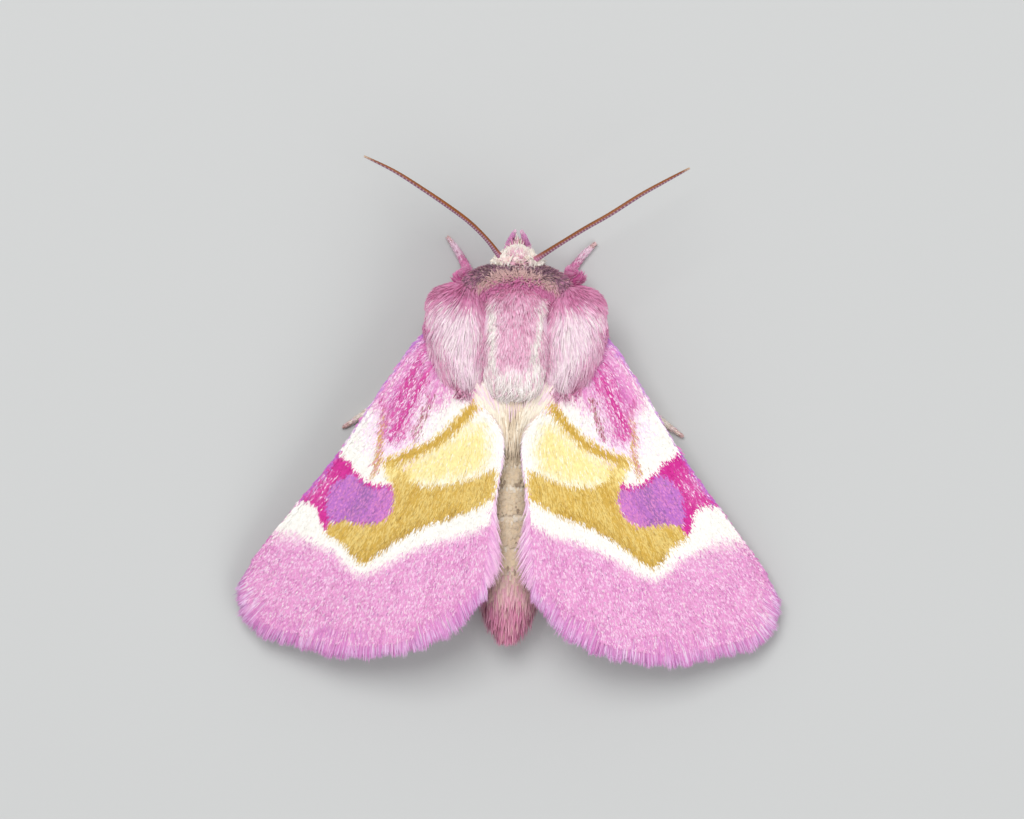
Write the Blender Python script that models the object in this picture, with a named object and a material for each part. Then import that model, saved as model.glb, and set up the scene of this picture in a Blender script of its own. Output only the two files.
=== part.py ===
"""A resting pink and gold noctuid moth, life size, wings spread in a low roof.

The head looks along -Y, the back is up (+Z) and the moth's left is +X. The origin lies on the
floor under the middle of the whole outline. Every length is in metres, given as millimetres
times MM.
"""

import math
import random

import bmesh
import bpy
from mathutils import Matrix, Vector
from mathutils.kdtree import KDTree

MM = 0.001

# Driving dimensions
WING_THICK = 0.5 * MM
WING_TIP_THICK = 0.2 * MM
WING_RIDGE_Z = 3.3 * MM
WING_RIDGE_X = 0.4 * MM
WING_SLOPE = 0.225
WING_DROOP = 5.0
WING_EDGE_DROOP = 0.15 * MM
GAP = 0.3 * MM
HINDWING_DROP = WING_THICK + GAP
VEIN_HEIGHT = 0.14 * MM
FRINGE_TOOTH = 0.38 * MM
SLIVER = 0.02 * MM
SLIM = 0.004 * MM
SWEEPS = 4
FLAT_AREA = 1e-14
ROOT_DEPTH = 0.14 * MM
TOUCH = 0.002 * MM
TOUCH_GAP = 0.006 * MM

THORAX_CENTRE = Vector((0.0, -2.45, 2.65)) * MM
THORAX_HALF = Vector((1.35, 1.75, 1.35)) * MM
THORAX_FRONT_Y = -3.95 * MM
DISC_HALF_WIDTH = 0.75 * MM
COLLAR_CENTRE = Vector((0.0, -4.6, 2.9)) * MM
COLLAR_HALF = Vector((1.75, 0.55, 1.05)) * MM
TEGULA_CENTRE = Vector((1.88, -2.8, 3.5)) * MM
TEGULA_HALF = Vector((1.08, 1.55, 0.75)) * MM
HEAD_CENTRE = Vector((0.0, -5.45, 2.55)) * MM
HEAD_HALF = Vector((0.75, 0.55, 0.78)) * MM
HEAD_REAR_Y = -5.05 * MM
EYE_CENTRE = Vector((0.6, -5.35, 2.5)) * MM
EYE_RADIUS = 0.58 * MM
EYE_FACE_X = 0.7 * MM
EYE_TOP_Z = 3.15 * MM

ABDOMEN_START = Vector((0.0, -1.2, 1.85)) * MM
ABDOMEN_END = Vector((0.0, 7.9, 1.25)) * MM
ABDOMEN_RADIUS = 1.08 * MM
ABDOMEN_WIDEN = 1.12
ABDOMEN_SEGMENTS = 7
ABDOMEN_SIDES = 18
ABDOMEN_LEDGE = 0.06 * MM
TAIL_LENGTH = 1.15 * MM

ANTENNA_ROOT = Vector((0.55, -5.5, 3.1)) * MM
ANTENNA_RADIUS = 0.25 * MM
ANTENNA_TIP_RADIUS = 0.1 * MM
ANTENNA_RINGS = 20
PALP_RADIUS = 0.25 * MM
LEG_SIDES = 8
JOINT_OVERLAP = 0.55
JOINT_TAPER = 0.7
SPUR_RADII = (0.25 * MM, 0.2 * MM, 0.08 * MM)
ANTENNA_SIDES = 6

# The colours of the large colour fields, linear RGB
WHITE_PINK = (0.86, 0.62, 0.72)
PINK = (0.72, 0.24, 0.50)
MAUVE = (0.30, 0.12, 0.19)
CREAM = (0.87, 0.78, 0.64)
TAN = (0.46, 0.34, 0.23)
BROWN = (0.22, 0.10, 0.07)
GREEN_BLACK = (0.03, 0.035, 0.02)

SIDES = (("left", 1), ("right", -1))


def clear_scene():
    """Removes every object that is in the scene."""
    for old in list(bpy.data.objects):
        bpy.data.objects.remove(old, do_unlink=True)


def collection(name):
    """A new collection under the scene."""
    made = bpy.data.collections.new(name)
    bpy.context.scene.collection.children.link(made)
    return made


def finish(name, colour, roughness=0.75, metallic=0.0):
    """A Principled material."""
    made = bpy.data.materials.new(name)
    made.use_nodes = True
    shader = made.node_tree.nodes["Principled BSDF"]
    shader.inputs["Base Color"].default_value = (*colour, 1.0)
    shader.inputs["Roughness"].default_value = roughness
    shader.inputs["Metallic"].default_value = metallic
    return made


def add_mesh(name, shape, group, material=None):
    """The bmesh as an object in a collection, with its normals facing out."""
    bmesh.ops.recalc_face_normals(shape, faces=shape.faces)
    mesh = bpy.data.meshes.new(name)
    shape.to_mesh(mesh)
    shape.free()
    if material:
        mesh.materials.append(material)
    made = bpy.data.objects.new(name, mesh)
    group.objects.link(made)
    return made


def as_cutter(obj):
    """Marks an object as a helper that isn't a part of the moth."""
    obj.hide_render = True
    obj.display_type = "WIRE"
    return obj


def ellipsoid(name, centre, half, group, material=None, columns=20, rows=12):
    """A round body from a sphere, stretched to its half sizes, poles along Y."""
    shape = bmesh.new()
    bmesh.ops.create_uvsphere(shape, u_segments=columns, v_segments=rows, radius=1.0)
    bmesh.ops.rotate(shape, verts=shape.verts, cent=(0, 0, 0), matrix=Matrix.Rotation(math.pi / 2, 3, "X"))
    bmesh.ops.scale(shape, verts=shape.verts, vec=half)
    bmesh.ops.translate(shape, verts=shape.verts, vec=centre)
    return add_mesh(name, shape, group, material)


def block(name, corner, opposite, helpers):
    """A cutter between two opposite corners."""
    corner, opposite = Vector(corner), Vector(opposite)
    size = opposite - corner
    shape = bmesh.new()
    bmesh.ops.create_cube(shape, size=1.0)
    bmesh.ops.scale(shape, verts=shape.verts, vec=[abs(length) for length in size])
    bmesh.ops.translate(shape, verts=shape.verts, vec=(corner + opposite) / 2)
    return as_cutter(add_mesh(name, shape, helpers))


def mirrored(point, side):
    """The point on the left side of the body, or its mirror image on the right."""
    return Vector((point[0] * side, point[1], point[2]))


def apply_boolean(obj, operation, other=None, others=None):
    """Cuts or joins at once, so that the mesh holds the result."""
    step = obj.modifiers.new("boolean", "BOOLEAN")
    step.operation = operation
    step.solver = "MANIFOLD"
    if others:
        step.operand_type = "COLLECTION"
        step.collection = others
    else:
        step.object = other
    bpy.context.view_layer.update()
    graph = bpy.context.evaluated_depsgraph_get()
    made = bpy.data.meshes.new_from_object(obj.evaluated_get(graph))
    obj.modifiers.remove(step)
    obj.data = made


def slimness(face):
    """The smallest height of a triangle."""
    return 2 * face.calc_area() / max(edge.calc_length() for edge in face.edges)


def keeps_facing(face, spots):
    """Whether a triangle that is moved to these spots still faces the way it did."""
    turned = (spots[1] - spots[0]).cross(spots[2] - spots[0])
    if slimness(face) < SLIM:
        return True
    return turned.length > FLAT_AREA and turned.normalized().dot(face.normal) > 0.5


def may_collapse(edge, middle):
    """Whether the surface stays closed, simple and unfolded when an edge shrinks to its middle."""
    near = [{link.other_vert(vert) for link in vert.link_edges} for vert in edge.verts]
    if len(near[0] & near[1]) != 2:
        return False
    for vert in edge.verts:
        for face in vert.link_faces:
            spots = [middle if corner is vert else corner.co for corner in face.verts]
            if edge not in face.edges and not keeps_facing(face, spots):
                return False
    return True


def shrink_short_edges(shape, limit):
    """Shrinks every edge below the limit to a point, where the surface allows it."""
    for edge in sorted(shape.edges, key=lambda e: e.calc_length()):
        if edge.is_valid and edge.calc_length() < limit:
            middle = (edge.verts[0].co + edge.verts[1].co) / 2
            if may_collapse(edge, middle):
                bmesh.ops.pointmerge(shape, verts=list(edge.verts), merge_co=middle)


def turn_slim_faces(shape):
    """Gives a triangle whose corner lies on its far edge the other diagonal of its pair."""
    slim = sorted((face for face in shape.faces if slimness(face) < SLIM), key=slimness)
    for face in slim:
        if not face.is_valid:
            continue
        longest = max(face.edges, key=lambda e: e.calc_length())
        corners = [vert for side in longest.link_faces for vert in side.verts if vert not in longest.verts]
        if len(corners) == 2 and shape.edges.get(corners) is None:
            bmesh.utils.edge_rotate(longest, False)
    shape.normal_update()


def triangles_of(mesh, method):
    """The mesh in triangles, without its points on straight edges, short edges and slim faces."""
    shape = bmesh.new()
    shape.from_mesh(mesh)
    straight = [vert for vert in shape.verts if len(vert.link_edges) == 2]
    bmesh.ops.dissolve_verts(shape, verts=straight)
    bmesh.ops.triangulate(shape, faces=shape.faces, ngon_method=method)
    for sweep in range(SWEEPS):
        turn_slim_faces(shape)
        shrink_short_edges(shape, SLIVER)
    return shape


def part_touching(shape):
    """Draws in the points where the surface touches itself, so that a narrow gap is left."""
    shape.normal_update()
    tree = KDTree(len(shape.verts))
    for index, vert in enumerate(shape.verts):
        tree.insert(vert.co, index)
    tree.balance()
    drawn = {}
    for index, vert in enumerate(shape.verts):
        if len(tree.find_range(vert.co, TOUCH)) > 1:
            drawn[vert] = vert.co - vert.normal * TOUCH_GAP
    for vert, place in drawn.items():
        vert.co = place


def simplify(obj):
    """Turns a node into clean triangles, by the first method that leaves it closed."""
    for method in ("BEAUTY", "EAR_CLIP"):
        shape = triangles_of(obj.data, method)
        closed = all(edge.is_manifold for edge in shape.edges)
        if closed:
            part_touching(shape)
            shape.to_mesh(obj.data)
        shape.free()
        if closed:
            return


def keep_largest(obj):
    """Keeps the largest closed surface of a node, without loose scraps or sealed hollows."""
    shape = bmesh.new()
    shape.from_mesh(obj.data)
    unseen = set(shape.verts)
    islands = []
    while unseen:
        front = [unseen.pop()]
        island = set(front)
        while front:
            for edge in front.pop().link_edges:
                for vert in edge.verts:
                    if vert in unseen:
                        unseen.discard(vert)
                        island.add(vert)
                        front.append(vert)
        islands.append(island)
    if len(islands) > 1:
        biggest = max(islands, key=len)
        scraps = [vert for island in islands if island is not biggest for vert in island]
        bmesh.ops.delete(shape, geom=scraps, context="VERTS")
    shape.to_mesh(obj.data)
    shape.free()


def fuse(core, pieces):
    """Joins the pieces to the core by one union and removes them."""
    if pieces.objects:
        apply_boolean(core, "UNION", others=pieces)
    for piece in list(pieces.objects):
        bpy.data.objects.remove(piece, do_unlink=True)
    bpy.data.collections.remove(pieces)


def cut(obj, *cutters):
    """Takes the cutters away from a node."""
    for cutter in cutters:
        apply_boolean(obj, "DIFFERENCE", other=cutter)
    keep_largest(obj)


def smooth_between(points, share):
    """The point at a share of the way along a smooth curve through the points."""
    spans = len(points) - 1
    place = min(max(share, 0.0), 1.0) * spans
    index = min(int(place), spans - 1)
    f = place - index
    a, b = Vector(points[max(index - 1, 0)]), Vector(points[index])
    c, d = Vector(points[index + 1]), Vector(points[min(index + 2, spans)])
    return 0.5 * (2 * b + (c - a) * f + (2 * a - 5 * b + 4 * c - d) * f**2 + (3 * b - a - 3 * c + d) * f**3)


def solid_tube(name, points, radii, group, material, columns=LEG_SIDES):
    """A round limb through the points, made from a bevelled curve and welded at its caps."""
    line = bpy.data.curves.new(name, "CURVE")
    line.dimensions = "3D"
    line.bevel_depth = 1.0
    line.bevel_resolution = (columns - 4) // 2
    line.use_fill_caps = True
    spline = line.splines.new("POLY")
    spline.points.add(len(points) - 1)
    for knot, point, radius in zip(spline.points, points, radii):
        knot.co = (*point, 1.0)
        knot.radius = radius
    guide = bpy.data.objects.new(name + "_line", line)
    group.objects.link(guide)
    bpy.context.view_layer.update()
    graph = bpy.context.evaluated_depsgraph_get()
    mesh = bpy.data.meshes.new_from_object(guide.evaluated_get(graph))
    bpy.data.objects.remove(guide, do_unlink=True)
    bpy.data.curves.remove(line)
    shape = bmesh.new()
    shape.from_mesh(mesh)
    bpy.data.meshes.remove(mesh)
    bmesh.ops.remove_doubles(shape, verts=shape.verts, dist=1e-7)
    return add_mesh(name, shape, group, material)


class Coat:
    """The lie of long scales over a round body: where locks stand on it and which way they lean."""

    def __init__(self, centre, half, rise, hug, seed):
        self.centre, self.half, self.rise, self.hug = centre, half, rise, hug
        self.random = random.Random(seed)

    def on_surface(self, point, height=0.0):
        """The point moved onto the body's surface, and that surface's normal."""
        out = point - self.centre
        size = math.sqrt(sum((a / h) ** 2 for a, h in zip(out, self.half)))
        place = self.centre + out / size
        normal = Vector([(a / size) / h**2 for a, h in zip(out, self.half)]).normalized()
        return place + normal * height, normal

    def lock(self, name, root, lean, length, width, thick, group, steps=3):
        """A flat, tapered lock that leaves its root below the surface and bends along it."""
        place, normal = self.on_surface(root)
        lean = Vector(lean)
        spots = []
        for k in range(steps + 1):
            share = k / steps
            lift = -ROOT_DEPTH + (self.rise + ROOT_DEPTH) * share**0.8
            spots.append((place + normal * lift, normal))
            along = (lean - normal * lean.dot(normal)).normalized()
            straight = place + along * length / steps
            laid, normal = self.on_surface(straight)
            place = straight.lerp(laid, self.hug)
        return flat_lock(name, spots, width, thick, group)


def flat_lock(name, spots, width, thick, group):
    """Lofts a four-sided section through the spots, each (point, normal), down to a point."""
    shape = bmesh.new()
    rings = []
    count = len(spots) - 1
    for k, (point, normal) in enumerate(spots[:-1]):
        ahead = spots[k + 1][0] - point
        across = normal.cross(ahead).normalized()
        up = ahead.cross(across).normalized()
        share = k / count
        wide = width / 2 * math.sin(math.pi * (0.32 + 0.6 * share))
        high = thick / 2 * (1.0 - 0.6 * share)
        corners = (across * wide, up * high, across * -wide, up * -high)
        rings.append([shape.verts.new(point + corner) for corner in corners])
    tip = shape.verts.new(spots[-1][0])
    shape.faces.new(rings[0][::-1])
    for ring, after in zip(rings, rings[1:]):
        for i in range(4):
            j = (i + 1) % 4
            shape.faces.new((ring[i], ring[j], after[j], after[i]))
    for i in range(4):
        shape.faces.new((rings[-1][i], rings[-1][(i + 1) % 4], tip))
    return add_mesh(name, shape, group)


# Wings

FOREWING_COSTA = ((1.1, -3.25), (3.1, -2.95), (4.5, -1.2), (6.2, 1.45), (7.85, 3.6), (9.3, 5.5))
FOREWING_INNER = ((1.1, -1.6), (1.3, -0.6), (0.5, 0.6), (0.32, 1.7), (0.45, 3.2), (0.6, 4.8), (0.98, 6.4))
FOREWING_OUTER = (
    (9.3, 5.5),
    (9.68, 6.6),
    (9.25, 7.85),
    (7.6, 8.45),
    (5.8, 8.72),
    (3.9, 8.5),
    (2.3, 7.7),
    (0.98, 6.4),
)
HINDWING_COSTA = ((1.0, -1.5), (2.9, -0.3), (4.6, 2.2), (6.3, 5.0))
HINDWING_INNER = ((1.0, -0.7), (1.65, 0.6), (1.5, 3.0), (1.5, 5.3))
HINDWING_OUTER = ((6.3, 5.0), (6.45, 6.3), (4.8, 7.1), (2.9, 6.75), (1.5, 5.3))
FOREWING_EDGES = (FOREWING_COSTA, FOREWING_INNER, FOREWING_OUTER)
HINDWING_EDGES = (HINDWING_COSTA, HINDWING_INNER, HINDWING_OUTER)
FOREWING_GRID = (13, 28)
HINDWING_GRID = (8, 16)
# Each vein: its line across the wing, and the share of the wing's length where it starts
FOREWING_VEINS = ((2, 0.0), (6, 0.0), (9, 0.5), (12, 0.5), (15, 0.5), (18, 0.0), (21, 0.4), (25, 0.0))
HINDWING_VEINS = ((2, 0.0), (5, 0.4), (8, 0.0), (11, 0.4), (14, 0.0))
FOREWING_CELL_END = (7, 6, 18)


def wing_height(x, y, drop=0.0):
    """The height of the wing's middle surface: a low roof that falls away from the back."""
    out = x - WING_RIDGE_X
    behind = max(y - 6.0 * MM, 0.0) / (3.0 * MM)
    return WING_RIDGE_Z - WING_SLOPE * out - WING_DROOP * out**2 - WING_EDGE_DROOP * behind**2 - drop


class Wing:
    """A wing laid over the roof surface, filled in between its four edges."""

    def __init__(self, costa, inner, outer, drop, grid, veins, cell_end=None):
        self.costa, self.inner, self.outer = costa, inner, outer
        self.drop, self.grid, self.veins, self.cell_end = drop, grid, veins, cell_end

    def plan(self, s, t):
        """The place in plan at a share s of the length and t of the breadth from the costa."""
        front, back = smooth_between(self.costa, s), smooth_between(self.inner, s)
        root = Vector(self.costa[0]).lerp(Vector(self.inner[0]), t)
        edge = smooth_between(self.outer, t)
        corners = (
            (1 - s) * (1 - t) * Vector(self.costa[0])
            + (1 - s) * t * Vector(self.inner[0])
            + s * (1 - t) * Vector(self.costa[-1])
            + s * t * Vector(self.inner[-1])
        )
        return ((1 - t) * front + t * back + (1 - s) * root + s * edge - corners) * MM

    def is_vein(self, row, line):
        """Whether a vein or the cross vein that closes the cell runs over this grid point."""
        share = row / self.grid[0]
        if any(line == at and start <= share for at, start in self.veins):
            return True
        if not self.cell_end:
            return False
        cross_row, first, last = self.cell_end
        return row == cross_row and first <= line <= last

    def tooth(self, number):
        """The place in plan of one fringe tip, with two of them to each line of the grid."""
        teeth = 2 * self.grid[1]
        start, end = self.plan(1.0, number / teeth), self.plan(1.0, (number + 1) / teeth)
        along = end - start
        out = Vector((along.y, -along.x)).normalized()
        if out.dot(start - self.plan(0.6, 0.45)) < 0:
            out.negate()
        reach = FRINGE_TOOTH * (1.0 if number % 2 else 0.86)
        return (start + end) / 2 + out * reach

    def plate(self, name, group, material=None):
        """The membrane with its veins and toothed fringe, alike in its triangles above and below."""
        rows, lines = self.grid
        shape = bmesh.new()

        def pair(at, raised=0.0, thick=WING_THICK):
            """The points above and below a place in plan."""
            z = wing_height(at.x, at.y, self.drop)
            high, low = z + thick / 2 + raised, z - thick / 2
            return shape.verts.new((at.x, at.y, high)), shape.verts.new((at.x, at.y, low))

        spots = {}
        for i in range(rows):
            for j in range(lines + 1):
                raised = VEIN_HEIGHT if self.is_vein(i, j) else 0.0
                spots[i, j] = pair(self.plan(i / rows, j / lines), raised)
        edge = []
        for k in range(2 * lines + 1):
            raised = VEIN_HEIGHT if k % 2 == 0 and self.is_vein(rows, k // 2) else 0.0
            edge.append(pair(self.plan(1.0, k / (2 * lines)), raised))
        tips = [pair(self.tooth(k), 0.0, WING_TIP_THICK) for k in range(2 * lines)]
        for sheet in (0, 1):
            for j in range(lines):
                for i in range(rows - 1):
                    a, b, c, d = (spots[i, j], spots[i + 1, j], spots[i + 1, j + 1], spots[i, j + 1])
                    shape.faces.new((a[sheet], b[sheet], c[sheet]))
                    shape.faces.new((a[sheet], c[sheet], d[sheet]))
                near, far = spots[rows - 1, j], spots[rows - 1, j + 1]
                shape.faces.new((near[sheet], edge[2 * j][sheet], edge[2 * j + 1][sheet]))
                shape.faces.new((near[sheet], edge[2 * j + 1][sheet], far[sheet]))
                shape.faces.new((far[sheet], edge[2 * j + 1][sheet], edge[2 * j + 2][sheet]))
            for k, tip in enumerate(tips):
                shape.faces.new((edge[k][sheet], tip[sheet], edge[k + 1][sheet]))
        rim = [spots[i, 0] for i in range(rows)] + [edge[0]]
        for k, tip in enumerate(tips):
            rim += [tip, edge[k + 1]]
        rim += [spots[i, lines] for i in range(rows - 1, -1, -1)]
        rim += [spots[0, j] for j in range(lines - 1, 0, -1)]
        for here, after in zip(rim, rim[1:] + rim[:1]):
            shape.faces.new((here[0], after[0], after[1]))
            shape.faces.new((here[0], after[1], here[1]))
        return add_mesh(name, shape, group, material)


def clearance(name, centre, half, group, columns=20):
    """The space that a neighbour of a round body leaves free."""
    grown = half + Vector((GAP, GAP, GAP))
    return as_cutter(ellipsoid(name, centre, grown, group, columns=columns, rows=12))


def build_wings(moth, thorax_space, scales):
    """The forewing, and the hindwing folded below it."""
    forewing = Wing(*FOREWING_EDGES, 0.0, FOREWING_GRID, FOREWING_VEINS, FOREWING_CELL_END)
    hindwing = Wing(*HINDWING_EDGES, HINDWING_DROP, HINDWING_GRID, HINDWING_VEINS)
    cut(forewing.plate("forewing_left", moth, scales), thorax_space)
    cut(hindwing.plate("hindwing_left", moth, scales), thorax_space)


# Head


def build_head(moth, helpers, cream, eye_finish):
    """The head capsule with its white tufts, and the eyes on its flattened sides."""
    head = ellipsoid("head", HEAD_CENTRE, HEAD_HALF, moth, cream, 16, 10)
    coat = Coat(HEAD_CENTRE, HEAD_HALF, 0.2 * MM, 0.6, 21)
    tufts = collection("head_tufts")
    rows = ((-5.35, 3.4, 3, 0.62), (-5.7, 3.2, 4, 0.6), (-5.95, 2.6, 3, 0.5))
    for row, (y, z, count, reach) in enumerate(rows):
        for k in range(count):
            x = (k - (count - 1) / 2) * 0.34
            root = Vector((x, y, z)) * MM
            lean = Vector((x * 0.6, -1.0, -0.2 * row))
            coat.lock(f"head_tuft_{row}_{k}", root, lean, reach * MM, 0.5 * MM, 0.3 * MM, tufts)
    fuse(head, tufts)
    cut(head, block("head_rear_space", (-2 * MM, HEAD_REAR_Y, 0), (2 * MM, -3 * MM, 6 * MM), helpers))
    for name, side in SIDES:
        near = ((EYE_FACE_X - GAP) * side, -7 * MM, 1 * MM)
        cut(head, block("eye_space_" + name, near, (3 * MM * side, 0, EYE_TOP_Z), helpers))
    eye = ellipsoid("eye_left", EYE_CENTRE, Vector((1, 1, 1)) * EYE_RADIUS, moth, eye_finish, 16, 10)
    cut(eye, block("eye_inner", (EYE_FACE_X, -7 * MM, 0), (-2 * MM, 0, 5 * MM), helpers))


PALP_PATH = (
    (0.4, -5.6, 1.5),
    (0.42, -6.05, 1.45),
    (0.42, -6.38, 1.75),
    (0.4, -6.5, 2.15),
    (0.37, -6.58, 2.45),
)
PALP_WIDTHS = (0.85, 1.0, 1.0, 0.85, 0.5)


def build_palp(moth, helpers, pink):
    """A short feeler below the face that turns up in front of it."""
    face_space = clearance("face_space", HEAD_CENTRE, HEAD_HALF, helpers)
    points = [smooth_between(PALP_PATH, k / 8) * MM for k in range(9)]
    radii = [PALP_RADIUS * smooth_between([(w,) * 3 for w in PALP_WIDTHS], k / 8).x for k in range(9)]
    cut(solid_tube("palp_left", points, radii, moth, pink), face_space)


ANTENNA_TIPS = {"left": (5.62, -9.08, 3.5), "right": (6.05, -8.95, 3.5)}
ANTENNA_BOWS = {"left": 0.27, "right": 0.03}


def antenna_path(name, side):
    """The points along a feeler and its radius at each."""
    tip = Vector(ANTENNA_TIPS[name]) * MM
    bow = Vector((-0.55, -0.83, 0.0)) * ANTENNA_BOWS[name] * MM
    points, radii = [], []
    count = 2 * ANTENNA_RINGS
    for k in range(count + 1):
        share = k / count
        arch = math.sin(math.pi * share**0.8)
        point = ANTENNA_ROOT.lerp(tip, share) + bow * arch + Vector((0, 0, 0.35 * MM * arch))
        points.append(mirrored(point, side))
        taper = ANTENNA_RADIUS + (ANTENNA_TIP_RADIUS - ANTENNA_RADIUS) * max(0.0, share - 0.7) / 0.3
        radii.append(taper * (1.0 if k % 2 else 0.93))
    return points, radii


def build_antennae(moth, helpers, brown):
    """Two long ringed feelers, bowed forwards and a little apart from each other."""
    head_space = clearance("antenna_head_space", HEAD_CENTRE, HEAD_HALF, helpers)
    for name, side in SIDES:
        points, radii = antenna_path(name, side)
        cut(solid_tube("antenna_" + name, points, radii, moth, brown, ANTENNA_SIDES), head_space)
        room = [ANTENNA_RADIUS + GAP] * 9
        space = as_cutter(solid_tube("antenna_space_" + name, points[:17:2], room, helpers, None))
        for neighbour in ("head", "collar"):
            cut(bpy.data.objects[neighbour], space)


# Thorax


def build_collar(moth, helpers, mauve):
    """The raised ruff between head and thorax, in two rows of locks that lean forwards and out."""
    collar = ellipsoid("collar", COLLAR_CENTRE, COLLAR_HALF, moth, mauve, 18, 10)
    locks = collection("collar_locks")
    for row, (y, count, reach, rise) in enumerate(((-4.78, 9, 0.62, 0.3), (-4.42, 8, 0.6, 0.34))):
        for k in range(count):
            angle = math.radians(-84 + 168 * k / (count - 1))
            up = Vector((math.sin(angle), 0.0, math.cos(angle)))
            ring = math.sqrt(1 - ((y * MM - COLLAR_CENTRE.y) / COLLAR_HALF.y) ** 2)
            root = Vector((up.x * COLLAR_HALF.x * ring, y * MM, COLLAR_CENTRE.z + up.z * COLLAR_HALF.z * ring))
            lean = Vector((0.3 * up.x, -1.0, 0.25 * up.z)).normalized()
            spots = []
            for share in (0.0, 0.35, 0.7, 1.0):
                lift = -ROOT_DEPTH + (rise * MM + ROOT_DEPTH) * share
                spots.append((root + lean * reach * MM * share + up * lift, up))
            flat_lock(f"collar_lock_{row}_{k}", spots, 0.8 * MM, 0.34 * MM, locks)
    fuse(collar, locks)
    neck = clearance("head_space", HEAD_CENTRE, HEAD_HALF, helpers)
    cut(neck, block("neck_rear_space", (-2 * MM, HEAD_REAR_Y + GAP, 0), (2 * MM, 0, 6 * MM), helpers))
    cut(collar, as_cutter(neck))
    eye_half = Vector((1, 1, 1)) * EYE_RADIUS
    for name, side in SIDES:
        for kind, centre, half in (("eye", EYE_CENTRE, eye_half), ("tegula", TEGULA_CENTRE, TEGULA_HALF)):
            cut(collar, clearance(f"collar_{kind}_space_{name}", mirrored(centre, side), half, helpers))
    cut(collar, block("collar_rear_space", (-4 * MM, THORAX_FRONT_Y - GAP, 0), (4 * MM, 0, 6 * MM), helpers))


def build_thorax(moth, helpers, pink):
    """The thorax with the pink disc on its back, the pale crest behind it and the hairy breast."""
    thorax = ellipsoid("thorax", THORAX_CENTRE, THORAX_HALF, moth, pink, 20, 12)
    coat = Coat(THORAX_CENTRE, THORAX_HALF, 0.7 * MM, 0.75, 41)
    locks = collection("thorax_locks")
    for row in range(4):
        for k in range(3):
            x = (k - 1) * 0.45 + coat.random.uniform(-0.05, 0.05)
            root = Vector((x, -3.7 + row * 0.6, 5.0)) * MM
            coat.lock(f"disc_{row}_{k}", root, (x * 0.1, 1.0, 0.0), 1.2 * MM, 0.7 * MM, 0.4 * MM, locks)
    for k in range(5):
        x = (k - 2) * 0.26
        root = Vector((x, -1.35, 4.4)) * MM
        coat.lock(f"crest_{k}", root, (x * 0.4, 1.0, 0.1), 0.95 * MM, 0.55 * MM, 0.4 * MM, locks)
    coat.rise = 0.3 * MM
    for row in range(2):
        for k in range(3):
            root = Vector(((k - 1) * 0.3, -3.6 + row * 1.0, 0.4)) * MM
            coat.lock(f"breast_{row}_{k}", root, (0.0, 1.0, 0.0), 1.0 * MM, 0.55 * MM, 0.4 * MM, locks)
    fuse(thorax, locks)
    cut(thorax, block("thorax_front_space", (-4 * MM, -6 * MM, 0), (4 * MM, THORAX_FRONT_Y, 6 * MM), helpers))
    for name, side in SIDES:
        low = (DISC_HALF_WIDTH * side, -6 * MM, THORAX_CENTRE.z + 0.75 * MM)
        cut(thorax, block("shoulder_space_" + name, low, (4 * MM * side, 2 * MM, 7 * MM), helpers))


def build_tegula(moth, helpers, thorax_space, pink):
    """The shoulder cover: long pale locks that fan out over the wing's root."""
    tegula = ellipsoid("tegula_left", TEGULA_CENTRE, TEGULA_HALF, moth, pink, 16, 10)
    coat = Coat(TEGULA_CENTRE, TEGULA_HALF, 0.34 * MM, 0.4, 52)
    locks = collection("tegula_locks")
    for row in range(5):
        for k in range(4):
            spread = k / 3
            y = -4.05 + row * 0.58 + coat.random.uniform(-0.08, 0.08)
            x = 1.3 + spread * (1.45 - 0.12 * row)
            root = Vector((x, y, 5.0 - 1.5 * spread)) * MM
            lean = (0.5 * (spread - 0.3) * (1.0 - 0.45 * row), 1.0, 0.12)
            reach = 1.1 + 0.24 * row * (1.0 - 0.5 * abs(spread - 0.4))
            coat.lock(f"tegula_lock_{row}_{k}", root, lean, reach * MM, 0.75 * MM, 0.4 * MM, locks)
    fuse(tegula, locks)
    disc_space = block("disc_space", (DISC_HALF_WIDTH + GAP, -6 * MM, 0), (-4 * MM, 4 * MM, 7 * MM), helpers)
    cut(tegula, thorax_space, wing_space(helpers), disc_space)


# Abdomen


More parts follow.
